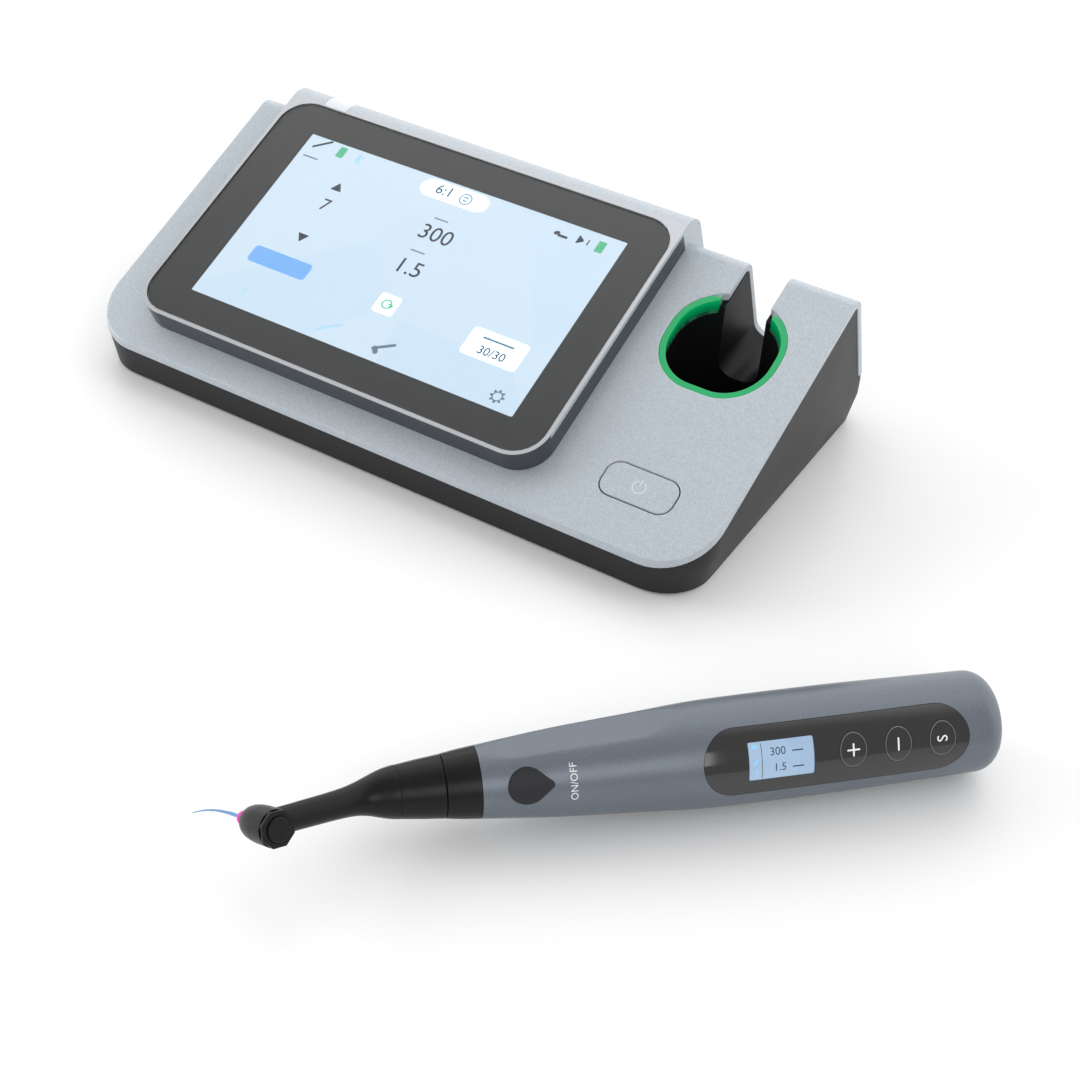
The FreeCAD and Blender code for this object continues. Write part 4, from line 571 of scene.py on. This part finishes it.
figure_layer("display_dark_figures", [
    lettering("300", 5.6, on_display(2.0, 13.6)), lettering("1.5", 5.6, on_display(1.0, -0.2)),
    lettering("7", 4.6, on_display(-36.6, 10.3)), lettering("6:1", 3.6, on_display(-4.6, 29.5)),
    mark([(-1.7, -1.2, 0.15), (1.7, -1.2, 0.15), (0, 1.5, 0.15)], on_display(-36.8, 17.9)),
    mark([(-1.7, 1.2, 0.15), (1.7, 1.2, 0.15), (0, -1.5, 0.15)], on_display(-36.2, -3.1)),
    lettering("30/30", 2.9, on_display(40.1, -17.2)), bar(7.0, 0.8, on_display(-51.2, 31.0, 38)),
    bar(2.0, 1.3, on_display(35.4, 28.8, 25)), bar(3.4, 0.9, on_display(37.6, 28.2))],
    dark_figures)
COG = (49.3, -29.1)
teeth = [bar(1.0, 0.7, on_display(*COG, 45 * i) @ Matrix.Translation((1.9, 0, 0)))
         for i in range(8)]
figure_layer("display_grey_figures", [
    ring(2.1, 0.35, on_display(3.1, 29.2)), bar(1.8, 0.4, on_display(3.1, 29.8)),
    bar(1.4, 0.4, on_display(3.1, 28.6)), bar(10.5, 0.6, on_display(40.1, -12.9)),
    ring(1.7, 0.4, on_display(*COG)), bar(5.0, 0.45, on_display(0.4, 19.4)),
    bar(5.0, 0.45, on_display(0.2, 6.2)), bar(5.6, 0.5, on_display(-52.0, 25.0)),
    bar(7.5, 1.0, on_display(9.8, -27.6, 32)), bar(3.0, 1.6, on_display(8.0, -29.6, -58))]
    + teeth, grey_figures)
figure_layer("display_blue_button", [field(9.4, 1.9, 1.2, on_display(-37.0, -14.0))],
             blue_button)
lower = Matrix.Translation((0, 0, -FIELD_DROP))
figure_layer("display_pale_fields", [
    field(8.2, 3.8, 1.2, lower @ on_display(40.1, -15.2)),
    field(2.6, 2.6, 1.0, lower @ on_display(2.2, -14.2)),
    mark([(x, 0, 3.4) for x in (-8.6, 8.6)], lower @ on_display(-1.0, 29.3))], pale_button)
figure_layer("display_sky_figures", [
    lettering("1", 4.0, on_display(-41.0, -27.0)), bar(8.0, 0.8, on_display(-9.0, -28.0, 35)),
    bar(4.0, 0.9, on_display(-37.2, 30.0, 90)), bar(3.0, 0.6, on_display(-36.6, 30.6, 40)),
    bar(3.0, 0.6, on_display(-36.6, 29.4, -40))], sky_figures)
figure_layer("display_green_figures", [
    field(0.9, 1.7, 0.4, on_display(-43.6, 30.4)), field(0.9, 1.7, 0.4, on_display(50.0, 29.0)),
    ring(1.7, 0.45, on_display(2.2, -14.2)), bar(1.6, 0.5, on_display(3.9, -14.6, 60)),
    bar(1.6, 0.5, on_display(3.3, -14.0, -10))], green_figures)
figure_layer("display_speaker_mark", [
    mark([(0, 0, 0.5), (1.4, 1.4, 0.15), (1.4, -1.4, 0.15)], on_display(43.8, 29.1, 180)),
    bar(2.2, 0.4, on_display(45.8, 29.1, 90))], dark_figures)


# ---------------------------------------------------------------- charging dock
# A black moulded cup stands in the cover, open to the back through a slot. A clear acrylic
# ring round its mouth is lit green from below, and fades out where it ends at the slot.

satin_black = finish("satin_black", (0.006, 0.006, 0.007), 0.45, tone=0.2, grain=3000.0,
                     bump=0.00003, specular=0.15)
show("dock_liner", eased_copy("dock_cup", 0.0003), "console", [satin_black],
     ["dock_cup"])

lit_ring, ring_surface = shader("lit_ring")
ring_tree = lit_ring.node_tree
ring_place = ring_tree.nodes.new("ShaderNodeTexCoord")
off_face = shader_node(ring_tree, "ShaderNodeVectorMath",
                       [(1, (0, -math.sin(SLOPE_ANGLE), math.cos(SLOPE_ANGLE)))],
                       [(0, ring_place.outputs["Object"])], "DOT_PRODUCT")
mouth_level = (slope @ Vector((0, 0, 0))).dot((0, -math.sin(SLOPE_ANGLE), math.cos(SLOPE_ANGLE)))
bright_edge = shader_node(ring_tree, "ShaderNodeMapRange",
                          [("From Min", mouth_level - 0.0030), ("From Max", mouth_level - 0.0002),
                           ("To Min", 0.45), ("To Max", 1.0)],
                          [("Value", off_face.outputs["Value"])])
split = shader_node(ring_tree, "ShaderNodeSeparateXYZ", (),
                    [("Vector", ring_place.outputs["Object"])])
lit_part = shader_node(ring_tree, "ShaderNodeMapRange",
                       [("From Min", 0.0222), ("From Max", 0.0202), ("To Min", 0.0),
                        ("To Max", 1.0)], [("Value", split.outputs["Y"])])
glow = shader_node(ring_tree, "ShaderNodeMath", (), [(0, bright_edge.outputs["Result"]),
                                                     (1, lit_part.outputs["Result"])], "MULTIPLY")
hues = ring_tree.nodes.new("ShaderNodeValToRGB")
hues.color_ramp.elements[0].position = 0.0
hues.color_ramp.elements[0].color = (0.0, 0.03, 0.012, 1)
hues.color_ramp.elements[1].position = 1.0
hues.color_ramp.elements[1].color = (0.0, 0.46, 0.13, 1)
middle = hues.color_ramp.elements.new(0.6)
middle.color = (0.0, 0.19, 0.055, 1)
ring_tree.links.new(glow.outputs[0], hues.inputs["Fac"])
ring_tree.links.new(hues.outputs["Color"], ring_surface.inputs["Emission Color"])
ring_surface.inputs["Emission Strength"].default_value = 0.7
body_tone = two_tones(ring_tree, lit_part.outputs["Result"], (0.42, 0.46, 0.47),
                      (0.0, 0.09, 0.035))
ring_tree.links.new(body_tone.outputs[2], ring_surface.inputs["Base Color"])
ring_surface.inputs["Roughness"].default_value = 0.18
ring_surface.inputs["Coat Weight"].default_value = 0.4
show("dock_ring", eased_copy("dock_light_ring", 0.00025, 3), "console", [lit_ring],
     ["dock_light_ring"])

gold = finish("gold_plate", (0.80, 0.56, 0.20), 0.26, metallic=1.0, tone=0.08, grain=900.0)
spring_steel = finish("spring_steel", (0.55, 0.55, 0.57), 0.3, metallic=1.0, tone=0.1,
                      grain=1500.0, stretch=(1, 1, 6))
dress(satin_black, "contact_block")
dress(gold, "contact_pin_left", "contact_pin_right")
for side in ("left", "right"):
    bellows = bmesh.new()
    bellows.from_mesh(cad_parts["contact_spring_" + side].data)
    bmesh.ops.remove_doubles(bellows, verts=bellows.verts, dist=SAME_POINT)
    spring = show("pin_bellows_" + side, bellows, "console", [spring_steel],
                  ["contact_spring_" + side])
    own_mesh(spring)


# ---------------------------------------------------------------- power button
# An alloy key, painted as the cover, that stands level with it in a narrow gap. Its standby
# sign is printed in pale grey. A rigid switch on its own board lies under it.

SIGN_PLACE = (78.2, 19.4)
show("power_key", eased_copy("power_button", 0.0003, 3), "power_button", [console_paint],
     ["power_button"])
pale_print = ink("pale_print", (0.70, 0.74, 0.78))
key_top = max((slope.inverted() @ v.co).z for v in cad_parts["power_button"].data.vertices)
sign_middle = Matrix.Translation((*SIGN_PLACE, key_top + 0.012))
arc = ring(2.1, 0.32, sign_middle)
notch = discs_hull([(SIGN_PLACE[0], SIGN_PLACE[1] + 1.9, 0.75)], key_top - 1, key_top + 1, 16)
sign = [combined(arc, notch), bar(1.9, 0.32, sign_middle @ Matrix.Translation((0, 1.6, 0))
                                  @ Matrix.Rotation(math.radians(90), 4, "Z"))]
show("standby_sign", joined(sign), "power_button", [pale_print], (), slope)


# ---------------------------------------------------------------- handpiece body
# The body is one moulding, 126 mm long, painted satin blue grey. It is round, with a finger
# rest scooped along one side ahead of the panel, and is hollow for the cell and the motor.

HAND_YAW = math.radians(43.8)
HAND_ROLL = math.radians(32.0)
forward = Vector((-math.cos(HAND_YAW), -math.sin(HAND_YAW), 0))
outward = Vector((math.sin(HAND_YAW), -math.cos(HAND_YAW), 0))
out_of_panel = outward * math.cos(HAND_ROLL) + Vector((0, 0, math.sin(HAND_ROLL)))
hand = (Matrix.Translation((0.1881, -0.0630, 0.0129))
        @ Matrix((forward, out_of_panel.cross(forward), out_of_panel)).transposed().to_4x4() @ MM)
HAND_LENGTH = 126.3
REAR_CORNER = 5.5
REAR_RADIUS = 12.3
HAND_STATIONS = ((REAR_CORNER, REAR_RADIUS), (38, 12.9), (60, 12.9), (76, 12.65), (84, 11.9),
                 (108.6, 10.3), (HAND_LENGTH, 8.45))
REST_START = 79.0
REST_FULL = 88.0
REST_FADE = 119.0
REST_FACING = math.radians(19.0)
REST_DEPTH = 0.117


def between(stations, at):
    """The value at a place on a line through stations."""
    for (x0, y0), (x1, y1) in zip(stations, stations[1:]):
        if at <= x1:
            return y0 + (y1 - y0) * (at - x0) / (x1 - x0)
    return stations[-1][1]


def hand_radius(along):
    """The body's radius, with its outline's corners softened."""
    reach = max(0.0, min(6.0, along - REAR_CORNER, HAND_LENGTH - along))
    return sum(between(HAND_STATIONS, along + reach * k / 4) for k in range(-4, 5)) / 9


def turned(profile, steps=96, axis=(1, 0, 0)):
    """A closed mesh turned about the X or the Z axis from an outline of (along, radius)."""
    made = bmesh.new()
    row = [made.verts.new((w, 0, r) if axis[0] else (r, 0, w)) for w, r in profile]
    edges = [made.edges.new(pair) for pair in zip(row, row[1:])]
    if profile[0][1] > 0:
        edges.append(made.edges.new((row[-1], row[0])))
    bmesh.ops.spin(made, geom=row + edges, cent=(0, 0, 0), axis=axis, angle=2 * math.pi,
                   steps=steps, use_merge=True)
    bmesh.ops.remove_doubles(made, verts=made.verts[:], dist=SAME_POINT_MM)
    bmesh.ops.recalc_face_normals(made, faces=made.faces[:])
    return made


def hand_outline(depth):
    """The body's outline drawn in by a depth, from one point on its axis to the other."""
    corner = REAR_CORNER - depth
    angles = [math.radians(9 * i) for i in range(10)]
    rear = [(depth + corner * (1 - math.cos(a)), REAR_RADIUS - depth - corner * (1 - math.sin(a)))
            for a in angles]
    stations = [REAR_CORNER + 1.65 * i for i in range(73)]
    middle = [(along, hand_radius(along) - depth) for along in stations]
    end = (HAND_LENGTH, hand_radius(HAND_LENGTH) - depth)
    return [(depth, 0)] + rear + middle + [end, (HAND_LENGTH, 0)]


def scoop(made):
    """Presses the finger rest into one side of the body."""
    facing = Vector((0, -math.cos(REST_FACING), math.sin(REST_FACING)))
    for v in made.verts:
        start = min(1.0, max(0.0, (v.co.x - REST_START) / (REST_FULL - REST_START)))
        fade = min(1.0, max(0.0, (HAND_LENGTH - v.co.x) / (HAND_LENGTH - REST_FADE)))
        share = start * start * (3 - 2 * start) * fade
        limit = hand_radius(v.co.x) * (1 - REST_DEPTH * share)
        over = v.co.dot(facing) - limit
        if over > 0:
            v.co -= facing * over


def capsule(half_width, rear, front, low, high):
    """A block with round ends, standing on the hand's axis."""
    return discs_hull([(rear + half_width, 0, half_width), (front - half_width, 0, half_width)],
                      low, high, 64)


PANEL_REAR, PANEL_FRONT, PANEL_HALF, PANEL_DEPTH = 10.4, 75.7, 7.9, 1.2
PANEL_GAP = 0.1
HAND_WALL = 2.0
BUTTON_ROUND = (116.3, 0, 4.3)
BUTTON_TIP = (111.0, 0, 0.8)

hand_paint = finish("hand_paint", (0.145, 0.168, 0.198), 0.34, metallic=0.3, tone=0.06,
                    grain=2400.0, bump=0.00001, specular=0.4)
add_flakes(hand_paint, 0.10)
outer = turned(hand_outline(0), 128)
scoop(outer)
inner = turned([(w if w < HAND_LENGTH else w + 2, max(0, r))
                for w, r in hand_outline(HAND_WALL)], 64)
seat = combined(capsule(PANEL_HALF + PANEL_GAP, PANEL_REAR - PANEL_GAP, PANEL_FRONT + PANEL_GAP,
                        1, 30), turned(hand_outline(PANEL_DEPTH + PANEL_GAP), 128))
button_hole = discs_hull([(x, y, r + PANEL_GAP) for x, y, r in (BUTTON_ROUND, BUTTON_TIP)],
                         2, 30)
shell = combined(combined(outer, seat), button_hole)
show("handle_body", combined(shell, inner), "handpiece", [hand_paint],
     ["handpiece_housing"], hand, 24)

letters = lettering("ON/OFF", 1.75, Matrix.Translation((105.6, 0, 0))
                    @ Matrix.Rotation(math.radians(-90), 4, "Z"))


def wrap_on_hand(made, lift=0.03):
    """Bends flat figures round the body's surface, cutting them into narrow strips first."""
    for i in range(-10, 11):
        bmesh.ops.bisect_plane(made, geom=made.verts[:] + made.edges[:] + made.faces[:],
                               plane_co=(0, 0.5 * i, 0), plane_no=(0, 1, 0))
    for v in made.verts:
        radius = hand_radius(v.co.x)
        v.co.z += math.sqrt(radius * radius - v.co.y * v.co.y) + lift
    return made


white_print = ink("white_print", (0.80, 0.82, 0.83))
show("switch_label", wrap_on_hand(letters), "handpiece", [white_print], (), hand)


# ---------------------------------------------------------------- control panel
# A strip of deep gloss black polycarbonate is bonded flush in the body. Three oval keys stand
# level in it with their signs in white, and a small lit display shows through at the front.

def body_layer(depth_out, depth_in, outline):
    """The part of the body's wall inside an outline block, between two depths."""
    thick = combined(outline, turned(hand_outline(depth_out), 128), "INTERSECT")
    return combined(thick, turned(hand_outline(depth_in), 128))


def oval(centre, grow, low, high):
    """A key's outline block, longer across the hand than along it."""
    made = discs_hull([(0, 0, 1)], low, high, 48)
    made.transform(Matrix.Translation((centre, 0, 0))
                   @ Matrix.Diagonal((3.45 + grow, 4.3 + grow, 1, 1)))
    return made


KEYS = {"key_s": 17.2, "key_minus": 28.4, "key_plus": 39.6}
KEY_DEPTH = 0.78
LCD_REAR, LCD_FRONT, LCD_HALF = 49.2, 65.0, 4.5

panel_gloss = finish("panel_gloss", (0.010, 0.010, 0.011), 0.10, tone=0.15, grain=500.0,
                     spread=0.05, bump=0.000004, coat=0.6)
panel = body_layer(0, PANEL_DEPTH, capsule(PANEL_HALF, PANEL_REAR, PANEL_FRONT, 1, 30))
for centre in KEYS.values():
    panel = combined(panel, oval(centre, 0.06, 1, 30))
lcd_block = discs_hull([(x, y, 0.3) for x in (LCD_REAR + 0.3, LCD_FRONT - 0.3)
                        for y in (-LCD_HALF + 0.3, LCD_HALF - 0.3)], 1, 30, 12)
panel = combined(panel, lcd_block)
show("gloss_panel", panel, "handpiece", [panel_gloss], ["panel_lens"], hand, 24)

white_sign = ink("white_sign", (0.82, 0.83, 0.84), 0.12)
grey_outline = ink("grey_outline", (0.16, 0.17, 0.18))
for key, centre in KEYS.items():
    show(key + "_cap", body_layer(0, KEY_DEPTH, oval(centre, 0, 1, 30)), key,
         [panel_gloss], [key], hand, 24)
    turned_place = (Matrix.Translation((centre, 0, 0))
                    @ Matrix.Rotation(math.radians(-90), 4, "Z"))
    if key == "key_s":
        sign = lettering("S", 2.7, turned_place)
    else:
        sign = bar(3.2, 0.42, turned_place)
    if key == "key_plus":
        upright = bar(3.2, 0.42, turned_place @ Matrix.Rotation(math.radians(90), 4, "Z"))
        sign = combined(sign, upright, "UNION")
    show(key + "_sign", wrap_on_hand(sign), key, [white_sign], (), hand)
    outline = ring(3.3, 0.16, Matrix.Translation((centre, 0, 0)), 4.15 / 3.3)
    show(key + "_outline", wrap_on_hand(outline), key, [grey_outline], (), hand)

hand_backdrop = lit_screen("hand_display_backdrop", (0.36, 0.52, 0.74), (0.46, 0.64, 0.86), 0.8,
                           60.0)
lcd_block = discs_hull([(x, y, 0.25) for x in (LCD_REAR + 0.35, LCD_FRONT - 0.35)
                        for y in (-LCD_HALF + 0.35, LCD_HALF - 0.35)], 1, 30, 12)
show("hand_display_face", body_layer(0.04, 0.6, lcd_block), "handpiece", [hand_backdrop],
     (), hand, 24)


def on_hand_display(w, side, turn=0.0):
    """A place on the handpiece's display. Its figures read from the nose to the rear."""
    return Matrix.Translation((w, side, 0)) @ Matrix.Rotation(math.radians(180 + turn), 4, "Z")


small = [lettering("300", 1.9, on_hand_display(58.0, -1.9)),
         lettering("1.5", 1.9, on_hand_display(57.6, 1.9)),
         bar(2.8, 0.3, on_hand_display(53.2, -1.7)), bar(2.8, 0.3, on_hand_display(53.2, 2.1)),
         bar(8.2, 0.14, on_hand_display(61.9, 0, 90))]
show("hand_display_figures", wrap_on_hand(joined(small), -0.01), "handpiece", [dark_figures],
     (), hand)
side_marks = [bar(1.2, 0.9, on_hand_display(63.4, -3.4)),
              bar(1.6, 0.5, on_hand_display(63.4, 0.2, 50)),
              lettering("7", 1.5, on_hand_display(63.3, 3.0))]
show("hand_display_marks", wrap_on_hand(joined(side_marks), -0.01), "handpiece", [blue_button],
     (), hand)


# ---------------------------------------------------------------- on/off button
# A drop-shaped button in dark grey silicone-coated plastic, slightly domed, that stands half a
# millimetre proud of the body.

button_grey = finish("button_grey", (0.022, 0.022, 0.025), 0.5, tone=0.2, grain=1800.0,
                     bump=0.00008, specular=0.25)
BUTTON_PROUD = 0.45
BUTTON_FOOT = 7.6
drop = discs_hull([BUTTON_ROUND, BUTTON_TIP], 3, 30, 48)
domed = combined(drop, turned([(w, max(0, r)) for w, r in hand_outline(-BUTTON_PROUD)], 128),
                 "INTERSECT")
for v in domed.verts:
    if v.co.z < 5:
        v.co.z = BUTTON_FOOT
show("drop_button", eased(domed, 0.25, 3, 50), "onoff_button", [button_grey],
     ["onoff_button"], hand, 30)


# ---------------------------------------------------------------- nose ring and sleeve
# Two turned aluminium rings, anodised satin black. The first is screwed into the body, and the
# second is the rear of the contra-angle, which turns in it on a stub.

black_anodised = finish("black_anodised", (0.005, 0.005, 0.006), 0.33, tone=0.25, grain=700.0,
                        spread=0.16, bump=0.00001, specular=0.22)
nose = turned([(120.3, 6.5), (126.3, 6.5), (126.3, 8.45), (130.2, 8.02), (134.2, 7.45),
               (134.2, 4.2), (120.3, 4.2)])
show("nose_collar", eased(nose, 0.22, 3), "handpiece", [black_anodised],
     ["nose_ring"], hand, 24)
sleeve = turned([(121, 4.1), (134.35, 4.1), (134.35, 7.38), (139.5, 6.85), (144.5, 6.22),
                 (144.5, 3.3), (121, 3.3)])
show("rear_sleeve", eased(sleeve, 0.16, 3), "contra_angle", [black_anodised],
     ["contra_sleeve"], hand, 24)


# ---------------------------------------------------------------- neck and head
# The neck flares down from the sleeve, bends by 28 degrees and carries the head. Both are one
# black coated brass forging, bored for the shafts, the gears and the two head bearings.

SLEEVE_END = 144.5
BEND_PLACE = 150.2
BEND_ANGLE = math.radians(28)
NECK_LENGTH = 28.6
neck = (hand @ Matrix.Translation((BEND_PLACE, 0, 0))
        @ Matrix.Rotation(-BEND_ANGLE, 4, "Y"))
head = neck @ Matrix.Translation((NECK_LENGTH, 0, 0))
NECK_STATIONS = ((0, 6.2), (1.4, 6.15), (3.4, 5.75), (5.6, 5.05), (8.0, 4.25), (10.5, 3.7),
                 (13.5, 3.35), (18, 3.2), (34.6, 3.0))
BEND_ARC = 5.5
NECK_REACH = 34.0


def neck_radius(along):
    """The neck's radius, with its outline's corners softened."""
    reach = max(0.0, min(1.8, along))
    return sum(between(NECK_STATIONS, along + reach * k / 3) for k in range(-3, 4)) / 7


def neck_place(along):
    """A ring's place in the hand's frame, at a distance along the bent neck."""
    before = BEND_PLACE - SLEEVE_END - BEND_ARC
    onward = Vector((math.cos(BEND_ANGLE), 0, math.sin(BEND_ANGLE)))
    if along <= before:
        return Matrix.Translation((SLEEVE_END + along, 0, 0))
    share = min(1.0, (along - before) / (2 * BEND_ARC))
    bend = Vector((BEND_PLACE, 0, 0))
    end = bend + onward * BEND_ARC
    start = bend - Vector((BEND_ARC, 0, 0))
    centre = (start * (1 - share) ** 2 + bend * (2 * share * (1 - share)) + end * share ** 2)
    centre += onward * max(0.0, along - before - 2 * BEND_ARC)
    return Matrix.Translation(centre) @ Matrix.Rotation(-BEND_ANGLE * share, 4, "Y")


def grown_tube(corners, rings, lying, placed):
    """A closed tube grown ring by ring, with placed(share, spot) giving where a point goes."""
    tube = bmesh.new()
    last = list(bmesh.ops.create_circle(tube, segments=corners, radius=1.0, cap_ends=True,
                                        matrix=lying)["verts"])
    unit = [v.co.copy() for v in last]
    for i in range(rings + 1):
        if i:
            edges = [e for e in tube.edges if e.verts[0] in last and e.verts[1] in last]
            made = bmesh.ops.extrude_edge_only(tube, edges=edges)["geom"]
            last = [v for v in made if isinstance(v, bmesh.types.BMVert)]
            last.sort(key=lambda v: min(range(corners),
                                        key=lambda k: (v.co - previous[k]).length))
        for v, spot in zip(last, unit):
            v.co = placed(i / rings, spot)
        previous = [v.co.copy() for v in last]
    bmesh.ops.contextual_create(tube, geom=[e for e in tube.edges if len(e.link_faces) == 1])
    bmesh.ops.recalc_face_normals(tube, faces=tube.faces[:])
    return tube


def neck_spot(share, spot):
    """Where a point of a unit ring lies on the neck."""
    along = NECK_REACH * share
    radius = neck_radius(along)
    return neck_place(along) @ Matrix.Diagonal((1, radius, radius, 1)) @ spot


neck_mesh = grown_tube(72, 46, Matrix.Rotation(math.radians(90), 4, "Y"), neck_spot)
barrel = turned([(-5.6, 0), (-5.6, 2.7), (-5.45, 3.1), (-5.0, 3.45), (-3.8, 3.85), (-2.0, 4.15),
                 (0, 4.3), (4.4, 4.3), (4.4, 0)], 72, (0, 0, 1))
to_hand = hand.inverted() @ head
barrel.transform(to_hand)
whole = combined(neck_mesh, barrel, "UNION")
bores = [discs_hull([(0, 0, 3.3)], -4.4, 6, 48), discs_hull([(0, 0, 1.9)], -7, 0, 32)]
for bore in bores:
    bore.transform(to_hand)
    whole = combined(whole, bore)
channel = turned([(0, 0), (0, 2.1), (NECK_LENGTH, 2.1), (NECK_LENGTH, 0)], 32)
channel.transform(hand.inverted() @ neck)
entry = turned([(142, 0), (142, 3.3), (BEND_PLACE, 3.3), (BEND_PLACE, 0)], 32)
whole = combined(combined(whole, channel), entry)
show("neck_and_head", whole, "contra_angle", [black_anodised], ["contra_neck"],
     hand, 28)
show("head_nut", eased_copy("head_cap_ring", 0.00016, 2), "contra_angle", [black_anodised],
     ["head_cap_ring"])
show("chuck_cap", eased_copy("push_cap", 0.00008, 2), "push_cap", [black_anodised],
     ["push_cap"])


# ---------------------------------------------------------------- file
# A nickel titanium root canal file, heat tinted blue and ground with three twisted flutes. Its
# gold-plated shank is held in the head, and a pink silicone stop marks the depth.

dress(gold, "file_shank")
pink_silicone = finish("pink_silicone", (0.78, 0.04, 0.42), 0.42, tone=0.08, grain=1500.0)
blue_titanium = finish("blue_titanium", (0.13, 0.30, 0.56), 0.28, metallic=0.85, tone=0.3,
                       grain=2600.0)
STOP_TOP, STOP_FOOT = -7.9, -9.4
stop = turned([(STOP_FOOT, 0.47), (STOP_FOOT, 1.3), (STOP_FOOT + 0.25, 1.58),
               (STOP_FOOT + 0.75, 1.65), (STOP_TOP - 0.25, 1.58), (STOP_TOP, 1.3),
               (STOP_TOP, 0.47)], 48, (0, 0, 1))
show("depth_stop", eased(stop, 0.12, 3, 20), "file_stop", [pink_silicone],
     ["file_stop"], head, 30)

BLADE_START, SHAFT_LENGTH, BLADE_LENGTH = -6.7, 7.0, 18.5
BEND_RADIUS = BLADE_LENGTH / math.radians(19)
SHAFT_RADIUS, TIP_RADIUS = 0.42, 0.13
FLUTE_DEPTH, FLUTE_START, FLUTE_BLEND, FLUTE_TWIST = 0.30, 0.8, 1.2, 1.9


def blade_spot(share, spot):
    """Where a point of a unit ring lies on the straight start or the fluted, curved blade."""
    along = (SHAFT_LENGTH + BLADE_LENGTH) * share
    past = max(0.0, along - SHAFT_LENGTH)
    angle = past / BEND_RADIUS
    centre = Vector((0, BEND_RADIUS * (1 - math.cos(angle)),
                     BLADE_START - min(along, SHAFT_LENGTH) - BEND_RADIUS * math.sin(angle)))
    width = SHAFT_RADIUS + (TIP_RADIUS - SHAFT_RADIUS) * past / BLADE_LENGTH
    flute = FLUTE_DEPTH * min(1.0, max(0.0, (past - FLUTE_START) / FLUTE_BLEND))
    around = math.atan2(-spot.x, spot.y) + past * FLUTE_TWIST
    depth = 1 - flute * (0.5 - 0.5 * math.cos(3 * around))
    return Matrix.Translation(centre) @ Matrix.Rotation(angle, 4, "X") @ (spot * (width * depth))


blade = grown_tube(12, 110, Matrix(), blade_spot)
show("fluted_blade", blade, "file", [blue_titanium], ["file_blade"], head, 30)


# ---------------------------------------------------------------- inner pieces
# Everything under the covers: boards with their copper tracks, chips, cells in printed
# sleeves, the speaker, the motor, bearings, gears and shafts, each in its own finish.

def add_pattern(material, node_kind, scale, color, low, high, turn=0.0):
    """Draws tracks, bands or windings of a second colour over a material."""
    tree = material.node_tree
    surface = tree.nodes["Principled BSDF"]
    ground = surface.inputs["Base Color"].links[0].from_socket
    place = tree.nodes.new("ShaderNodeTexCoord")
    laid = shader_node(tree, "ShaderNodeMapping", [("Rotation", (0, 0, turn))],
                       [("Vector", place.outputs["Object"])])
    drawn = shader_node(tree, node_kind, [("Scale", scale)], [("Vector", laid.outputs["Vector"])])
    mask = shader_node(tree, "ShaderNodeMapRange", [("From Min", low), ("From Max", high)],
                       [("Value", drawn.outputs[0 if node_kind == "ShaderNodeTexVoronoi" else 1])])
    blend = two_tones(tree, mask.outputs["Result"], color, color)
    tree.links.new(ground, blend.inputs[6])
    tree.links.new(blend.outputs[2], surface.inputs["Base Color"])
    return material


circuit = add_pattern(finish("circuit_board", (0.01, 0.11, 0.05), 0.35, tone=0.2),
                      "ShaderNodeTexWave", 260.0, (0.03, 0.22, 0.10), 0.55, 0.65, 0.78)
chip_black = finish("chip_black", (0.015, 0.015, 0.017), 0.55, tone=0.3, grain=4000.0)
amber_film = add_pattern(finish("amber_film", (0.50, 0.24, 0.05), 0.3, tone=0.1, coat=0.3),
                         "ShaderNodeTexWave", 500.0, (0.62, 0.36, 0.12), 0.5, 0.6)
cell_sleeve = add_pattern(finish("cell_sleeve", (0.03, 0.10, 0.32), 0.3, tone=0.1, coat=0.4),
                          "ShaderNodeTexWave", 18.0, (0.72, 0.75, 0.78), 0.93, 0.96, 0.6)
paper_cone = finish("paper_cone", (0.02, 0.02, 0.02), 0.75, tone=0.4, grain=1400.0, bump=0.0002)
drawn_steel = finish("drawn_steel", (0.50, 0.50, 0.52), 0.28, metallic=1.0, tone=0.12,
                     grain=900.0, stretch=(8, 8, 1))
ground_steel = finish("ground_steel", (0.62, 0.62, 0.64), 0.16, metallic=1.0, tone=0.06,
                      grain=2500.0)
cut_steel = finish("cut_steel", (0.42, 0.42, 0.44), 0.34, metallic=1.0, tone=0.15, grain=1500.0)
oiled_bronze = finish("oiled_bronze", (0.42, 0.24, 0.09), 0.36, metallic=0.9, tone=0.25,
                      grain=3500.0)
dress(circuit, "display_board", "dock_light_board", "main_board", "power_switch_board",
      "handpiece_board")
dress(chip_black, "main_board_chips", "power_switch", "key_switches", "onoff_switch")
dress(amber_film, "display_ribbon")
dress(cell_sleeve, "battery_pack", "handpiece_cell")
dress(paper_cone, "speaker")
dress(satin_black, "cell_cradle")
dress(hand_backdrop, "handpiece_display")
dress(gold, "charge_contacts")
dress(drawn_steel, "motor_can", "power_socket")
dress(ground_steel, "motor_bearings", "head_bearings", "reduction_cartridge")
dress(cut_steel, "motor_rotor", "input_spindle", "drive_shaft", "neck_shaft", "head_spindle")
dress(oiled_bronze, "neck_bushes")
